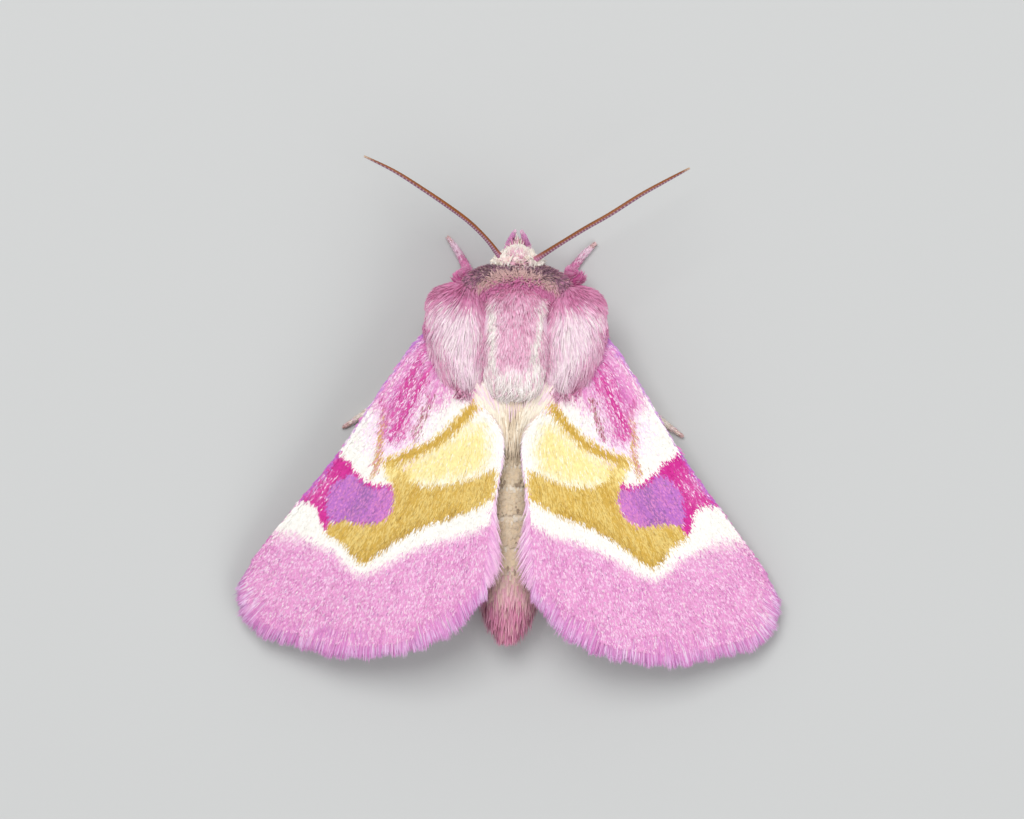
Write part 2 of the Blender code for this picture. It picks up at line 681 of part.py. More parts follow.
def build_abdomen(moth, helpers, thorax_space, tan, pink):
    """The ringed abdomen, a turned profile laid along the body, and the tuft at its end."""
    length = (ABDOMEN_END - ABDOMEN_START).length
    profile = [(0.0, 0.0)]
    for k in range(ABDOMEN_SEGMENTS):
        for inside, ledge in ((0.0, 0.0), (0.75, ABDOMEN_LEDGE)):
            share = (k + inside) / ABDOMEN_SEGMENTS
            swell = math.sin(math.pi * (0.28 + 0.62 * share)) ** 0.7
            profile.append((ABDOMEN_RADIUS * swell + ledge, share * length * 0.93))
    profile.append((0.0, length * 0.95))
    shape = bmesh.new()
    ring = [shape.verts.new((radius, 0.0, along)) for radius, along in profile]
    edges = [shape.edges.new(pair) for pair in zip(ring, ring[1:])]
    turn_round = {"cent": (0, 0, 0), "axis": (0, 0, 1), "angle": 2 * math.pi}
    bmesh.ops.spin(shape, geom=ring + edges, steps=ABDOMEN_SIDES, use_duplicate=False, **turn_round)
    bmesh.ops.remove_doubles(shape, verts=shape.verts, dist=1e-7)
    bmesh.ops.scale(shape, verts=shape.verts, vec=(ABDOMEN_WIDEN, 1.0, 1.0))
    turn = Vector((0, 0, 1)).rotation_difference(ABDOMEN_END - ABDOMEN_START).to_matrix()
    bmesh.ops.rotate(shape, verts=shape.verts, cent=(0, 0, 0), matrix=turn)
    bmesh.ops.translate(shape, verts=shape.verts, vec=ABDOMEN_START)
    abdomen = add_mesh("abdomen", shape, moth, tan)
    cut(abdomen, thorax_space)
    tail_y = ABDOMEN_END.y - TAIL_LENGTH
    cut(abdomen, block("tail_space", (-3 * MM, tail_y, 0), (3 * MM, 12 * MM, 4 * MM), helpers))
    build_tail_tuft(moth, helpers, tail_y + GAP, pink)


def build_tail_tuft(moth, helpers, start_y, pink):
    """Tapered locks around the end of the abdomen."""
    share = (start_y - ABDOMEN_START.y) / (ABDOMEN_END.y - ABDOMEN_START.y)
    centre = ABDOMEN_START.lerp(ABDOMEN_END, share)
    half = Vector((0.78, 0.75, 0.62)) * MM
    tuft = ellipsoid("tail_tuft", centre, half, moth, pink, 14, 10)
    locks = collection("tail_locks")
    for row, (ahead, count, reach) in enumerate(((0.12, 12, 1.15), (0.4, 9, 0.95))):
        for k in range(count):
            angle = 2 * math.pi * (k + 0.5 * row) / count
            root = centre + Vector((math.cos(angle) * half.x, ahead * MM, math.sin(angle) * half.z))
            spots = []
            for step in (0.0, 0.3, 0.65, 1.0):
                reach_y = start_y + (ahead + reach * step * (1 + 0.08 * math.cos(3 * k))) * MM
                ring = 0.78 - 0.22 * step
                point = Vector((root.x * ring, reach_y, centre.z + (root.z - centre.z) * ring))
                spots.append((point, Vector((math.cos(angle), 0.0, math.sin(angle)))))
            flat_lock(f"tail_lock_{row}_{k}", spots, 0.42 * MM, 0.34 * MM, locks)
    fuse(tuft, locks)
    cut(tuft, block("tuft_front_space", (-3 * MM, 0, 0), (3 * MM, start_y, 4 * MM), helpers))


# Legs: points from the hip to the claws, each with its radius, in millimetres

FORELEG_LEFT = (
    (0.65, -3.3, 1.6, 0.38),
    (0.8, -3.9, 1.0, 0.36),
    (1.5, -4.4, 1.15, 0.34),
    (2.15, -4.78, 1.4, 0.33),
    (2.0, -5.0, 1.05, 0.3),
    (1.85, -5.15, 0.65, 0.27),
    (1.95, -5.45, 0.3, 0.25),
    (2.25, -5.95, 0.22, 0.25),
    (2.6, -6.4, 0.16, 0.14),
)
FORELEG_RIGHT = (
    (0.65, -3.3, 1.6, 0.38),
    (0.8, -3.9, 1.0, 0.36),
    (1.5, -4.45, 1.15, 0.34),
    (2.25, -4.95, 1.4, 0.33),
    (2.05, -5.1, 1.05, 0.3),
    (1.9, -5.2, 0.65, 0.27),
    (2.1, -5.45, 0.3, 0.25),
    (2.45, -5.9, 0.22, 0.25),
    (2.85, -6.3, 0.16, 0.14),
)
MIDLEG = (
    (0.75, -2.5, 1.6, 0.38),
    (0.95, -2.5, 1.0, 0.36),
    (2.0, -2.35, 1.35, 0.34),
    (3.05, -2.1, 1.55, 0.32),
    (3.6, -1.5, 1.1, 0.27),
    (4.3, -0.75, 0.45, 0.26),
    (4.8, -0.35, 0.22, 0.25),
    (5.5, 0.2, 0.22, 0.25),
    (6.25, 0.7, 0.16, 0.14),
)
HINDLEG = (
    (0.7, -1.7, 1.6, 0.36),
    (0.95, -1.35, 1.0, 0.36),
    (1.6, -0.8, 1.0, 0.34),
    (2.3, -0.2, 1.15, 0.32),
    (2.65, 0.9, 0.8, 0.28),
    (3.0, 2.1, 0.45, 0.27),
    (3.25, 2.8, 0.22, 0.25),
    (3.7, 3.9, 0.22, 0.25),
    (4.1, 5.0, 0.16, 0.14),
)
# Spurs on the shin: the leg point that they spring from and their length
MIDLEG_SPURS = ((5, 0.75),)
HINDLEG_SPURS = ((4, 0.7), (5, 0.85))


def limb(name, stations, side, group, material=None):
    """One straight or gently bent length of a leg, run on a little past both its joints."""
    spots = [Vector(station) for station in stations]
    first, last = spots[0].copy(), spots[-1].copy()
    first.xyz += (spots[0].xyz - spots[1].xyz).normalized() * spots[0].w * JOINT_OVERLAP
    last.xyz += (spots[-1].xyz - spots[-2].xyz).normalized() * spots[-1].w * JOINT_OVERLAP
    path = [first, *spots, last] if len(spots) > 2 else [first, last]
    points = [mirrored(spot.xyz, side) * MM for spot in path]
    radii = [spot.w * MM for spot in path]
    radii[0] *= JOINT_TAPER
    radii[-1] *= JOINT_TAPER
    return solid_tube(name, points, radii, group, material)


def build_leg(name, side, stations, spurs, moth, thorax_space, floor, pink):
    """A leg from the hip down to a foot that is flat on the floor, with the spurs of its shin."""
    thigh = limb(name, stations[1:4], side, moth, pink)
    rest = collection(name + "_lengths")
    for kind, first, last in (("hip", 0, 2), ("shin", 3, 6), ("foot", 5, 9)):
        limb(f"{name}_{kind}", stations[first:last], side, rest)
    for at, length in spurs:
        root = mirrored(Vector(stations[at][:3]), side) * MM
        ahead = (mirrored(Vector(stations[at + 1][:3]), side) * MM - root).normalized()
        for turn in (-1, 1):
            across = Vector((0, 0, 1)).cross(ahead).normalized() * turn
            tip = root + (ahead * 0.9 + across * 0.55).normalized() * length * MM
            spine = [root, root.lerp(tip, 0.6), tip]
            solid_tube(f"{name}_spur_{at}_{turn}", spine, SPUR_RADII, rest, None, 6)
    fuse(thigh, rest)
    cut(thigh, thorax_space, floor)


def build_legs(moth, helpers, thorax_space, pink):
    """The legs, with both forelegs, which stand unlike each other."""
    floor = block("floor_space", (-20 * MM, -20 * MM, -3 * MM), (20 * MM, 20 * MM, 0), helpers)
    for name, side, stations, spurs in (
        ("foreleg_left", 1, FORELEG_LEFT, ()),
        ("foreleg_right", -1, FORELEG_RIGHT, ()),
        ("midleg_left", 1, MIDLEG, MIDLEG_SPURS),
        ("hindleg_left", 1, HINDLEG, HINDLEG_SPURS),
    ):
        build_leg(name, side, stations, spurs, moth, thorax_space, floor, pink)


def wing_space(helpers):
    """The forewing made thicker by the gap on both faces, to cut its neighbours with."""
    grown = Wing(*FOREWING_EDGES, 0.0, (10, 12), ())
    space = grown.plate("wing_space", helpers)
    for vert in space.data.vertices:
        middle = wing_height(vert.co.x, vert.co.y)
        vert.co.z += math.copysign(GAP + VEIN_HEIGHT / 2, vert.co.z - middle)
    return as_cutter(space)


def mirror_right(moth, names):
    """Makes the right-hand twin of each finished left-hand node."""
    for name in names:
        left = bpy.data.objects[name + "_left"]
        shape = bmesh.new()
        shape.from_mesh(left.data)
        bmesh.ops.scale(shape, verts=shape.verts, vec=(-1.0, 1.0, 1.0))
        add_mesh(name + "_right", shape, moth, left.data.materials[0])


def shade(moth):
    """Smooth shading with crisp edges on every node."""
    for obj in moth.objects:
        obj.data.shade_smooth()
        obj.data.set_sharp_from_angle(angle=math.radians(50))


def main():
    """Builds the moth."""
    clear_scene()
    moth = collection("moth")
    helpers = collection("helpers")
    pink = finish("pink_scales", PINK)
    pale = finish("pale_pink_scales", WHITE_PINK)
    cream = finish("cream_scales", CREAM)
    mauve = finish("mauve_scales", MAUVE)
    tan = finish("tan_scales", TAN)
    brown = finish("antenna_brown", BROWN, 0.5)
    eye_finish = finish("eye_gloss", GREEN_BLACK, 0.15)
    thorax_space = clearance("thorax_space", THORAX_CENTRE, THORAX_HALF, helpers, 24)
    build_thorax(moth, helpers, pink)
    build_collar(moth, helpers, mauve)
    build_head(moth, helpers, cream, eye_finish)
    build_palp(moth, helpers, pink)
    build_antennae(moth, helpers, brown)
    build_wings(moth, thorax_space, pale)
    build_tegula(moth, helpers, thorax_space, pale)
    build_abdomen(moth, helpers, thorax_space, tan, pink)
    build_legs(moth, helpers, thorax_space, pink)
    for obj in moth.objects:
        simplify(obj)
    mirror_right(moth, ("eye", "palp", "forewing", "hindwing", "tegula", "midleg", "hindleg"))
    shade(moth)


main()
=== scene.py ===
"""A small pink, white and ochre moth that rests with its wings spread, dressed over its solid model."""

from __future__ import annotations

import logging
import math
from dataclasses import dataclass, field
from enum import Enum
from typing import Callable

import bpy
import numpy as np
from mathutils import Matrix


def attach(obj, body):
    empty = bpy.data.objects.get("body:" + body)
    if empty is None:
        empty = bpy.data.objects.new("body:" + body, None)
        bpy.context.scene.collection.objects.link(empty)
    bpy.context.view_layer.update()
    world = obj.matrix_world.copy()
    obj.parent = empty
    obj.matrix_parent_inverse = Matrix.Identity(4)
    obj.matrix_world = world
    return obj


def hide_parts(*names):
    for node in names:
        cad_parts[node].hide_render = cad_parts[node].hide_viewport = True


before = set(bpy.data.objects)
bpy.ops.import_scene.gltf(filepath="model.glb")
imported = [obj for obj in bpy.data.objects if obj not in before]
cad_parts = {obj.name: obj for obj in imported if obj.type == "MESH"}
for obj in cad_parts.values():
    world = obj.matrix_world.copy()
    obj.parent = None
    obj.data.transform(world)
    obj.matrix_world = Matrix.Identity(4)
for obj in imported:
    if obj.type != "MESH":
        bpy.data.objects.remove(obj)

LOG = logging.getLogger("moth")
MM = 0.001
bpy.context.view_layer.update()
COAT = "Coat"
HANDS = (("left", 1), ("right", -1))
SHORT_STEPS, SHORT_WIDTHS = (0.0, 0.35, 0.7, 1.0), (0.9, 0.8)
STEP = 0.01
VOXEL = 0.075
TINY = 1e-12
PLATE_END = 0.965
FLOOR_GAP, SPUR_GAP = 0.012, 0.04
UNWRAPPED_HAIR = (0.0014, 0.0028)
FULL_TURN = 2 * math.pi
Array = np.ndarray
Random = np.random.Generator
Thing = bpy.types.Object
Points = tuple[tuple[float, ...], ...]
Weight = Array | float


# Colours


class Shade(Enum):
    """The colours of the scales, as they look on a screen."""

    WHITE = (253, 249, 242)
    YELLOW = (253, 235, 162)
    OCHRE = (213, 173, 70)
    OCHRE_LIGHT = (236, 208, 124)
    OCHRE_DARK = (172, 132, 44)
    PINK = (228, 140, 200)
    PINK_PALE = (250, 222, 242)
    PINK_DEEP = (206, 98, 178)
    MAGENTA = (214, 34, 150)
    VIOLET = (188, 110, 202)
    VIOLET_GREY = (126, 92, 150)
    FRINGE = (208, 116, 190)
    FRINGE_TIP = (232, 196, 234)
    ROSE = (208, 92, 156)
    TEGULA = (228, 142, 188)
    ROSE_PALE = (248, 218, 234)
    ROSE_DARK = (168, 52, 112)
    CREST = (254, 240, 242)
    MAUVE = (120, 60, 94)
    SAND = (212, 172, 164)
    CREAM = (250, 240, 222)
    BEIGE = (228, 208, 180)
    TAN = (236, 215, 182)
    TAN_DARK = (132, 106, 80)
    BROWN = (140, 76, 20)
    BROWN_DARK = (80, 42, 30)
    PALP = (255, 164, 232)
    SMOKE = (196, 178, 186)

    @property
    def linear(self) -> Array:
        """The colour in linear light."""
        c = np.array(self.value) / 255
        return np.where(c <= 0.04045, c / 12.92, ((c + 0.055) / 1.055) ** 2.4)


def ramp(value: Array, low: float, high: float) -> Array:
    """A smooth rise from 0 at low to 1 at high."""
    x = np.clip((value - low) / (high - low), 0, 1)
    return x * x * (3 - 2 * x)


def bell(value: Array, width: float) -> Array:
    """1 where the value is 0, falling off on both sides over the width."""
    return np.exp(-((value / width) ** 2))


def patchy(u: Array, v: Array, seed: int) -> Array:
    """Soft random patches, about one to each unit of u and v.

    Args:
        u: First coordinate.
        v: Second coordinate.
        seed: Which patches.

    Returns:
        Numbers from 0 to 1.
    """
    size = 128
    grid = np.random.default_rng(seed).random((size, size))
    i, j = np.floor(u).astype(int), np.floor(v).astype(int)
    f, g = u - i, v - j
    f, g = f * f * (3 - 2 * f), g * g * (3 - 2 * g)
    i, j, k, m = i % size, j % size, (i + 1) % size, (j + 1) % size
    return (grid[i, j] * (1 - f) + grid[k, j] * f) * (1 - g) + (grid[i, m] * (1 - f) + grid[k, m] * f) * g


class Paint:
    """Colours of many scales, laid on one marking after another."""

    def __init__(self, count: int, base: Shade, rng: Random | None = None) -> None:
        """Starts with one shade all over; with rng, soft edges break up into single scales."""
        self.rng = rng
        self.colour = np.tile(base.linear, (count, 1))

    def lay(self, shade: Shade, weight: Weight, grain: float = 0.75) -> None:
        """Lays a shade over the scales.

        Args:
            shade: The shade.
            weight: How much of it, from 0 to 1.
            grain: How far soft edges break up into scales that either have it or not.
        """
        weight = np.clip(weight, 0, 1) + np.zeros(len(self.colour))
        if self.rng is not None:
            chosen = (weight > self.rng.random(len(weight))).astype(float)
            weight = weight * (1 - grain) + chosen * grain
        self.colour += (shade.linear - self.colour) * weight[:, None]

    def vary(self, amount: float) -> None:
        """Makes single scales a little lighter or darker."""
        if self.rng is not None:
            self.colour *= 1 + amount * self.rng.uniform(-1, 1, (len(self.colour), 1))

    def toward(self, shade: Shade, weight: Weight) -> Array:
        """The colours drawn towards a shade, for the tips."""
        return self.colour + (shade.linear - self.colour) * np.asarray(weight)[..., None]


def distance_to(line: Points, at: Array, closed: bool = False) -> Array:
    """How far points lie from a line.

    Args:
        line: The line's own points, in plan.
        at: The points, one row each.
        closed: Whether the line runs back to its start.

    Returns:
        The distance of each point.
    """
    knots = np.array(line + (line[0],) if closed else line, float)
    best = np.full(len(at), np.inf)
    for a, b in zip(knots[:-1], knots[1:]):
        way = b - a
        share = np.clip(((at - a) @ way) / max(way @ way, TINY), 0, 1)
        best = np.minimum(best, np.linalg.norm(at - a - share[:, None] * way, axis=1))
    return best


def near(line: Points, at: Array, reach: float, core: float = 0.0) -> Array:
    """1 within the core of a line, falling to 0 at its reach."""
    return ramp(-distance_to(line, at), -reach, -core)


def depth_in(outline: Points, at: Array) -> Array:
    """How deep points lie inside a closed outline, negative outside.

    Args:
        outline: The outline's points, in plan.
        at: The points, one row each.

    Returns:
        The depth of each point.
    """
    knots = np.array(outline)
    inside = np.zeros(len(at), bool)
    for a, b in zip(knots, np.roll(knots, -1, 0)):
        spans = (a[1] > at[:, 1]) != (b[1] > at[:, 1])
        inside ^= spans & (at[:, 0] < (b[0] - a[0]) * (at[:, 1] - a[1]) / (b[1] - a[1] + TINY) + a[0])
    return np.where(inside, 1.0, -1.0) * distance_to(outline, at, closed=True)


# Curves and surfaces


def unit(v: Array) -> Array:
    """The vectors made one long."""
    return v / np.maximum(np.linalg.norm(v, axis=-1, keepdims=True), TINY)


def aside(way: Array) -> Array:
    """The ways turned a quarter to the left, in plan."""
    return way[:, ::-1] * (-1, 1)


def smooth(points: Points | Array, share: Array) -> Array:
    """Places along a smooth curve through points.

    Args:
        points: The curve's points.
        share: How far along, from 0 to 1.

    Returns:
        One place for each share.
    """
    knots = np.asarray(points, float)
    spans = len(knots) - 1
    place = np.clip(share, 0, 1) * spans
    i = np.minimum(place.astype(int), spans - 1)
    f = (place - i)[..., None]
    a, b, c, d = knots[np.maximum(i - 1, 0)], knots[i], knots[i + 1], knots[np.minimum(i + 2, spans)]
    return 0.5 * (2 * b + (c - a) * f + (2 * a - 5 * b + 4 * c - d) * f**2 + (3 * b - a - 3 * c + d) * f**3)


@dataclass(frozen=True)
class Dome:
    """A rounded body that hair lies on; a power above 2 makes it boxier."""

    centre: tuple[float, float, float]
    half: tuple[float, float, float]
    power: float = 2.0

    def onto(self, at: Array, height: Weight = 0.0) -> tuple[Array, Array]:
        """Moves points onto the dome.

        Args:
            at: The points.
            height: How high above it they end.

        Returns:
            The new points and the dome's normals there.
        """
        half = np.array(self.half)
        out = at - np.array(self.centre)
        size = np.sum(np.abs(out / half) ** self.power, axis=-1, keepdims=True) ** (1 / self.power)
        place = out / np.maximum(size, 1e-9)
        normal = unit(np.sign(place) * np.abs(place / half) ** (self.power - 1) / half)
        return np.array(self.centre) + place + normal * np.asarray(height)[..., None], normal

    def scaled(self, share: float, side: int = 1) -> Dome:
        """The dome made smaller, on either side of the body."""
        return Dome((self.centre[0] * side, *self.centre[1:]), tuple(half * share for half in self.half), self.power)

    def scatter(self, count: int, rng: Random, low: float) -> Array:
        """Random places on the dome.

        Args:
            count: How many.
            rng: The random numbers.
            low: The lowest height, from -1 at its foot to 1 at its top.

        Returns:
            The places.
        """
        z, turn = rng.uniform(low, 1, count), rng.uniform(0, FULL_TURN, count)
        ring = np.sqrt(1 - z**2)
        return np.array(self.centre) + np.stack((ring * np.cos(turn), ring * np.sin(turn), z), 1) * self.half

    def hair(
        self, roots: Array, lean: Array, length: Array, rise: Array, steps: tuple[float, ...], sink: float = 0.05,
        free: Weight = 0.0,
    ) -> tuple[Array, Array]:
        """Lays hairs along the dome.

        Args:
            roots: Where they start.
            lean: The way that they lie.
            length: How long each is.
            rise: How high each tip stands off the body.
            steps: The shares of the length that get a point.
            sink: How deep the roots start below the body.
            free: From 0, where the hair follows the body, to 1, where it runs off straight.

        Returns:
            The hairs' points and the normals at their roots.
        """
        place, normal = self.onto(roots)
        first, spine = normal, []
        for step, after in zip(steps, steps[1:] + (None,)):
            spine.append(place + normal * (-sink + (rise + sink) * step**0.8)[:, None])
            if after is not None:
                along = unit(lean - normal * np.sum(lean * normal, axis=1, keepdims=True))
                straight = place + along * (length * (after - step))[:, None]
                laid, normal = self.onto(straight)
                place = laid + (straight - laid) * np.asarray(free)[..., None]
        return np.stack(spine, 1), first


@dataclass(frozen=True)
class Tube:
    """A limb: a smooth path with a radius at each of its points."""

    path: Points
    radii: tuple[float, ...]
    widen: float = 1.0

    def frame(self, share: Array) -> tuple[Array, Array, Array, Array]:
        """The centre, the way ahead, the side and the up direction at shares of the length."""
        ahead = unit(smooth(self.path, share + STEP) - smooth(self.path, share - STEP))
        side = unit(np.cross(ahead, (0.0, 0.0, 1.0)))
        return smooth(self.path, share), ahead, side, np.cross(side, ahead)

    def surface(self, share: Array, angle: Array) -> tuple[Array, Array, Array]:
        """Finds places on the limb.

        Args:
            share: Their shares of the length.
            angle: Their angles round it.

        Returns:
            The places, the normals and the ways ahead.
        """
        centre, ahead, side, up = self.frame(share)
        out = side * np.cos(angle)[:, None] * self.widen + up * np.sin(angle)[:, None]
        return centre + out * smooth([(r,) for r in self.radii], share), unit(out), ahead


# Meshes


def activate(*pieces: Thing) -> None:
    """Selects these pieces alone and makes the first one active.

    Args:
        pieces: The pieces.
    """
    bpy.ops.object.select_all(action="DESELECT")
    for piece in pieces:
        piece.select_set(True)
    bpy.context.view_layer.objects.active = pieces[0]


def on_faces(action: Callable[..., object], **settings: object) -> None:
    """Runs an operator on all faces of the active piece.

    Args:
        action: The operator.
        settings: Its settings.
    """
    bpy.ops.object.mode_set(mode="EDIT")
    bpy.ops.mesh.select_all(action="SELECT")
    action(**settings)
    bpy.ops.object.mode_set(mode="OBJECT")


def named(name: str) -> Thing:
    """Names the active piece and its data, and returns it."""
    piece = bpy.context.active_object
    piece.name = piece.data.name = name
    return piece


def coordinates(piece: Thing) -> Array:
    """The places of a piece's vertices, in millimetres."""
    flat = np.empty(len(piece.data.vertices) * 3)
    piece.data.vertices.foreach_get("co", flat)
    return flat.reshape(-1, 3) / MM


def reshape(piece: Thing, places: Array) -> None:
    """Moves a piece's vertices to places in millimetres."""
    piece.data.vertices.foreach_set("co", (places * MM).ravel())
    piece.data.update()


def tint(piece: Thing, colour: Array) -> None:
    """Writes a colour for each vertex and shades the piece smooth."""
    layer = piece.data.color_attributes.get(COAT)
    layer = layer or piece.data.color_attributes.new(COAT, "FLOAT_COLOR", "POINT")
    layer.data.foreach_set("color", np.hstack((np.clip(colour, 0, 1), np.ones((len(colour), 1)))).ravel())
    piece.data.shade_smooth()


def modify(piece: Thing, kind: str, **settings: object) -> None:
    """Adds a modifier and applies it."""
    bpy.context.view_layer.objects.active = piece
    modifier = piece.modifiers.new(kind.title(), kind)
    for name, value in settings.items():
        setattr(modifier, name, value)
    bpy.ops.object.modifier_apply(modifier=modifier.name)


def ball(name: str, dome: Dome, segments: int = 48, rings: int = 32) -> Thing:
    """Adds a ball at its size and place.

    Args:
        name: The new object's name.
        dome: Its centre and half sizes.
        segments: Faces round it.
        rings: Faces from pole to pole.

    Returns:
        The ball.
    """
    bpy.ops.mesh.primitive_uv_sphere_add(segments=segments, ring_count=rings, radius=1.0)
    piece = named(name)
    reshape(piece, dome.onto(coordinates(piece) * MM * np.array(dome.half) + np.array(dome.centre))[0])
    return piece


def limb(name: str, tube: Tube, segments: int, rings: int) -> tuple[Thing, Array]:
    """Draws a ball out into a limb along its path.

    Args:
        name: The new object's name.
        tube: The limb's path and radii.
        segments: Faces round it.
        rings: Faces along it.

    Returns:
        The limb, and each vertex's share of the length.
    """
    piece = ball(name, Dome((0, 0, 0), (1, 1, 1)), segments, rings)
    x, y, z = coordinates(piece).T
    share = np.arccos(np.clip(-z, -1, 1)) / math.pi
    place = tube.surface(share, np.arctan2(y, x))[0]
    pole = (share < 1e-4) | (share > 1 - 1e-4)
    place[pole] = tube.frame(share)[0][pole]
    reshape(piece, place)
    on_faces(bpy.ops.mesh.normals_make_consistent, inside=False)
    return piece, share


@dataclass
class Tufts:
    """Many tapered scales or hairs, joined into one mesh."""

    name: str
    steps: tuple[float, ...] = (0.0, 0.3, 0.7, 1.0)
    widths: tuple[float, ...] = (0.9, 0.75)
    bulge: float = 0.5
    batches: list[tuple[Array, ...]] = field(default_factory=list)

    def add(self, spine: Array, normal: Array, width: Array, root: Array, tip: Array, patch: Array) -> None:
        """Adds hairs.

        Args:
            spine: Points along each hair, by hair and by step.
            normal: The way that each hair's flat side faces, or one for all.
            width: The width of each.
            root: The colour of each root.
            tip: The colour of each tip.
            patch: The place of each root on the unwrapped skin, from 0 to 1.
        """
        facing = np.broadcast_to(unit(np.asarray(normal, float)), (len(spine), 3))
        self.batches.append((spine, facing, width, root, tip, patch))

    def on_side(self, side: int) -> Tufts:
        """Mirrors the hairs where the side is -1."""
        turn = (side, 1.0, 1.0)
        self.batches = [(spine * turn, normal * turn, *rest) for spine, normal, *rest in self.batches]
        return self

    def template(self) -> tuple[Array, Array]:
        """The corners of one hair's faces, end to end, and where each face starts."""
        last = 2 * len(self.steps) - 3
        left, right = range(1, last, 2), range(2, last, 2)
        faces = [(0, 2, 1), (last - 2, last - 1, last), (0, *left, last), (0, last, *reversed(right))]
        faces += [(a, a + 1, a + 3, a + 2) for a in left[:-1]]
        starts = np.cumsum([0] + [len(face) for face in faces[:-1]])
        return np.array([corner for face in faces for corner in face]), starts

    def build(self) -> Thing:
        """Joins the hairs into one mesh with their colours and their patches.

        Returns:
            The new object.
        """
        spine, normal, width, root, tip, patch = (np.concatenate(part) for part in zip(*self.batches))
        count, stations = spine.shape[:2]
        places, colours, across = [spine[:, 0]], [root], [(0.0, 0.0)]
        for k in range(1, stations - 1):
            ahead = unit(spine[:, k + 1] - spine[:, k - 1])
            side = unit(np.cross(ahead, normal))
            half = (width * self.widths[k - 1] / 2)[:, None]
            raised = spine[:, k] + np.cross(side, ahead) * half * self.bulge
            for turn in (-1, 1):
                places.append(raised + side * half * turn)
                colours.append(root + (tip - root) * self.steps[k])
                across.append((turn, self.steps[k]))
        places, colours, across = places + [spine[:, -1]], colours + [tip], across + [(0.0, 1.0)]
        (corners, starts), order = self.template(), np.arange(count)[:, None]
        mesh = bpy.data.meshes.new(self.name)
        mesh.vertices.add(count * len(places))
        mesh.vertices.foreach_set("co", (np.stack(places, 1) * MM).ravel())
        loops = (corners[None, :] + order * len(places)).ravel()
        mesh.loops.add(len(loops))
        mesh.loops.foreach_set("vertex_index", loops)
        mesh.polygons.add(count * len(starts))
        mesh.polygons.foreach_set("loop_start", (starts[None, :] + order * len(corners)).ravel())
        mesh.update(calc_edges=True)
        piece = bpy.data.objects.new(self.name, mesh)
        bpy.context.scene.collection.objects.link(piece)
        tint(piece, np.stack(colours, 1).reshape(-1, 3))
        mesh.shade_flat()
        spread = np.array(across)[None] * UNWRAPPED_HAIR + patch[:, None] - (0.0, UNWRAPPED_HAIR[1] / 2)
        flat = np.clip(spread, 0.001, 0.999).reshape(-1, 2)[loops]
        mesh.uv_layers.new(name="OFBake").data.foreach_set("uv", flat.ravel())
        return piece


# Finishes


def preset(node: bpy.types.Node, values: dict[str | int, object]) -> None:
    """Sets input sockets of a node."""
    for socket, value in values.items():
        node.inputs[socket].default_value = value


def wire(tree: bpy.types.NodeTree, *links: tuple[bpy.types.Node, str | int, bpy.types.Node, str | int]) -> None:
    """Links outputs to inputs; each link is a node, its output, another node and its input."""
    for source, output, target, into in links:
        tree.links.new(source.outputs[output], target.inputs[into])


def grain_group() -> bpy.types.NodeTree:
    """The fine unevenness that all finishes share, built once.

    Returns:
        The node group.
    """
    name = "Fine grain"
    if name in bpy.data.node_groups:
        return bpy.data.node_groups[name]
    tree = bpy.data.node_groups.new(name, "ShaderNodeTree")
    for put, sockets in (("INPUT", "Colour Fineness Mottle Roughness"), ("OUTPUT", "Colour Roughness Height")):
        for socket in sockets.split():
            kind = "NodeSocketColor" if socket == "Colour" else "NodeSocketFloat"
            tree.interface.new_socket(name=socket, in_out=put, socket_type=kind)
    into, out = tree.nodes.new("NodeGroupInput"), tree.nodes.new("NodeGroupOutput")
    kinds = ("TexCoord", "TexNoise", "Math", "Math", "VectorMath", "Math")
    place, noise, centred, swing, scaled, rough = (tree.nodes.new("ShaderNode" + kind) for kind in kinds)
    centred.operation, swing.operation, scaled.operation = "SUBTRACT", "MULTIPLY_ADD", "SCALE"
    rough.operation, rough.use_clamp = "MULTIPLY", True
    preset(noise, {"Detail": 3.0})
    preset(centred, {1: 0.5})
    preset(swing, {2: 1.0})
    wire(
        tree, (place, "Object", noise, "Vector"), (into, "Fineness", noise, "Scale"), (noise, "Fac", centred, 0),
        (centred, 0, swing, 0), (into, "Mottle", swing, 1), (into, "Colour", scaled, 0), (swing, 0, scaled, "Scale"),
        (scaled, 0, out, "Colour"), (into, "Roughness", rough, 0), (swing, 0, rough, 1), (rough, 0, out, "Roughness"),
        (noise, "Fac", out, "Height"),
    )
    return tree


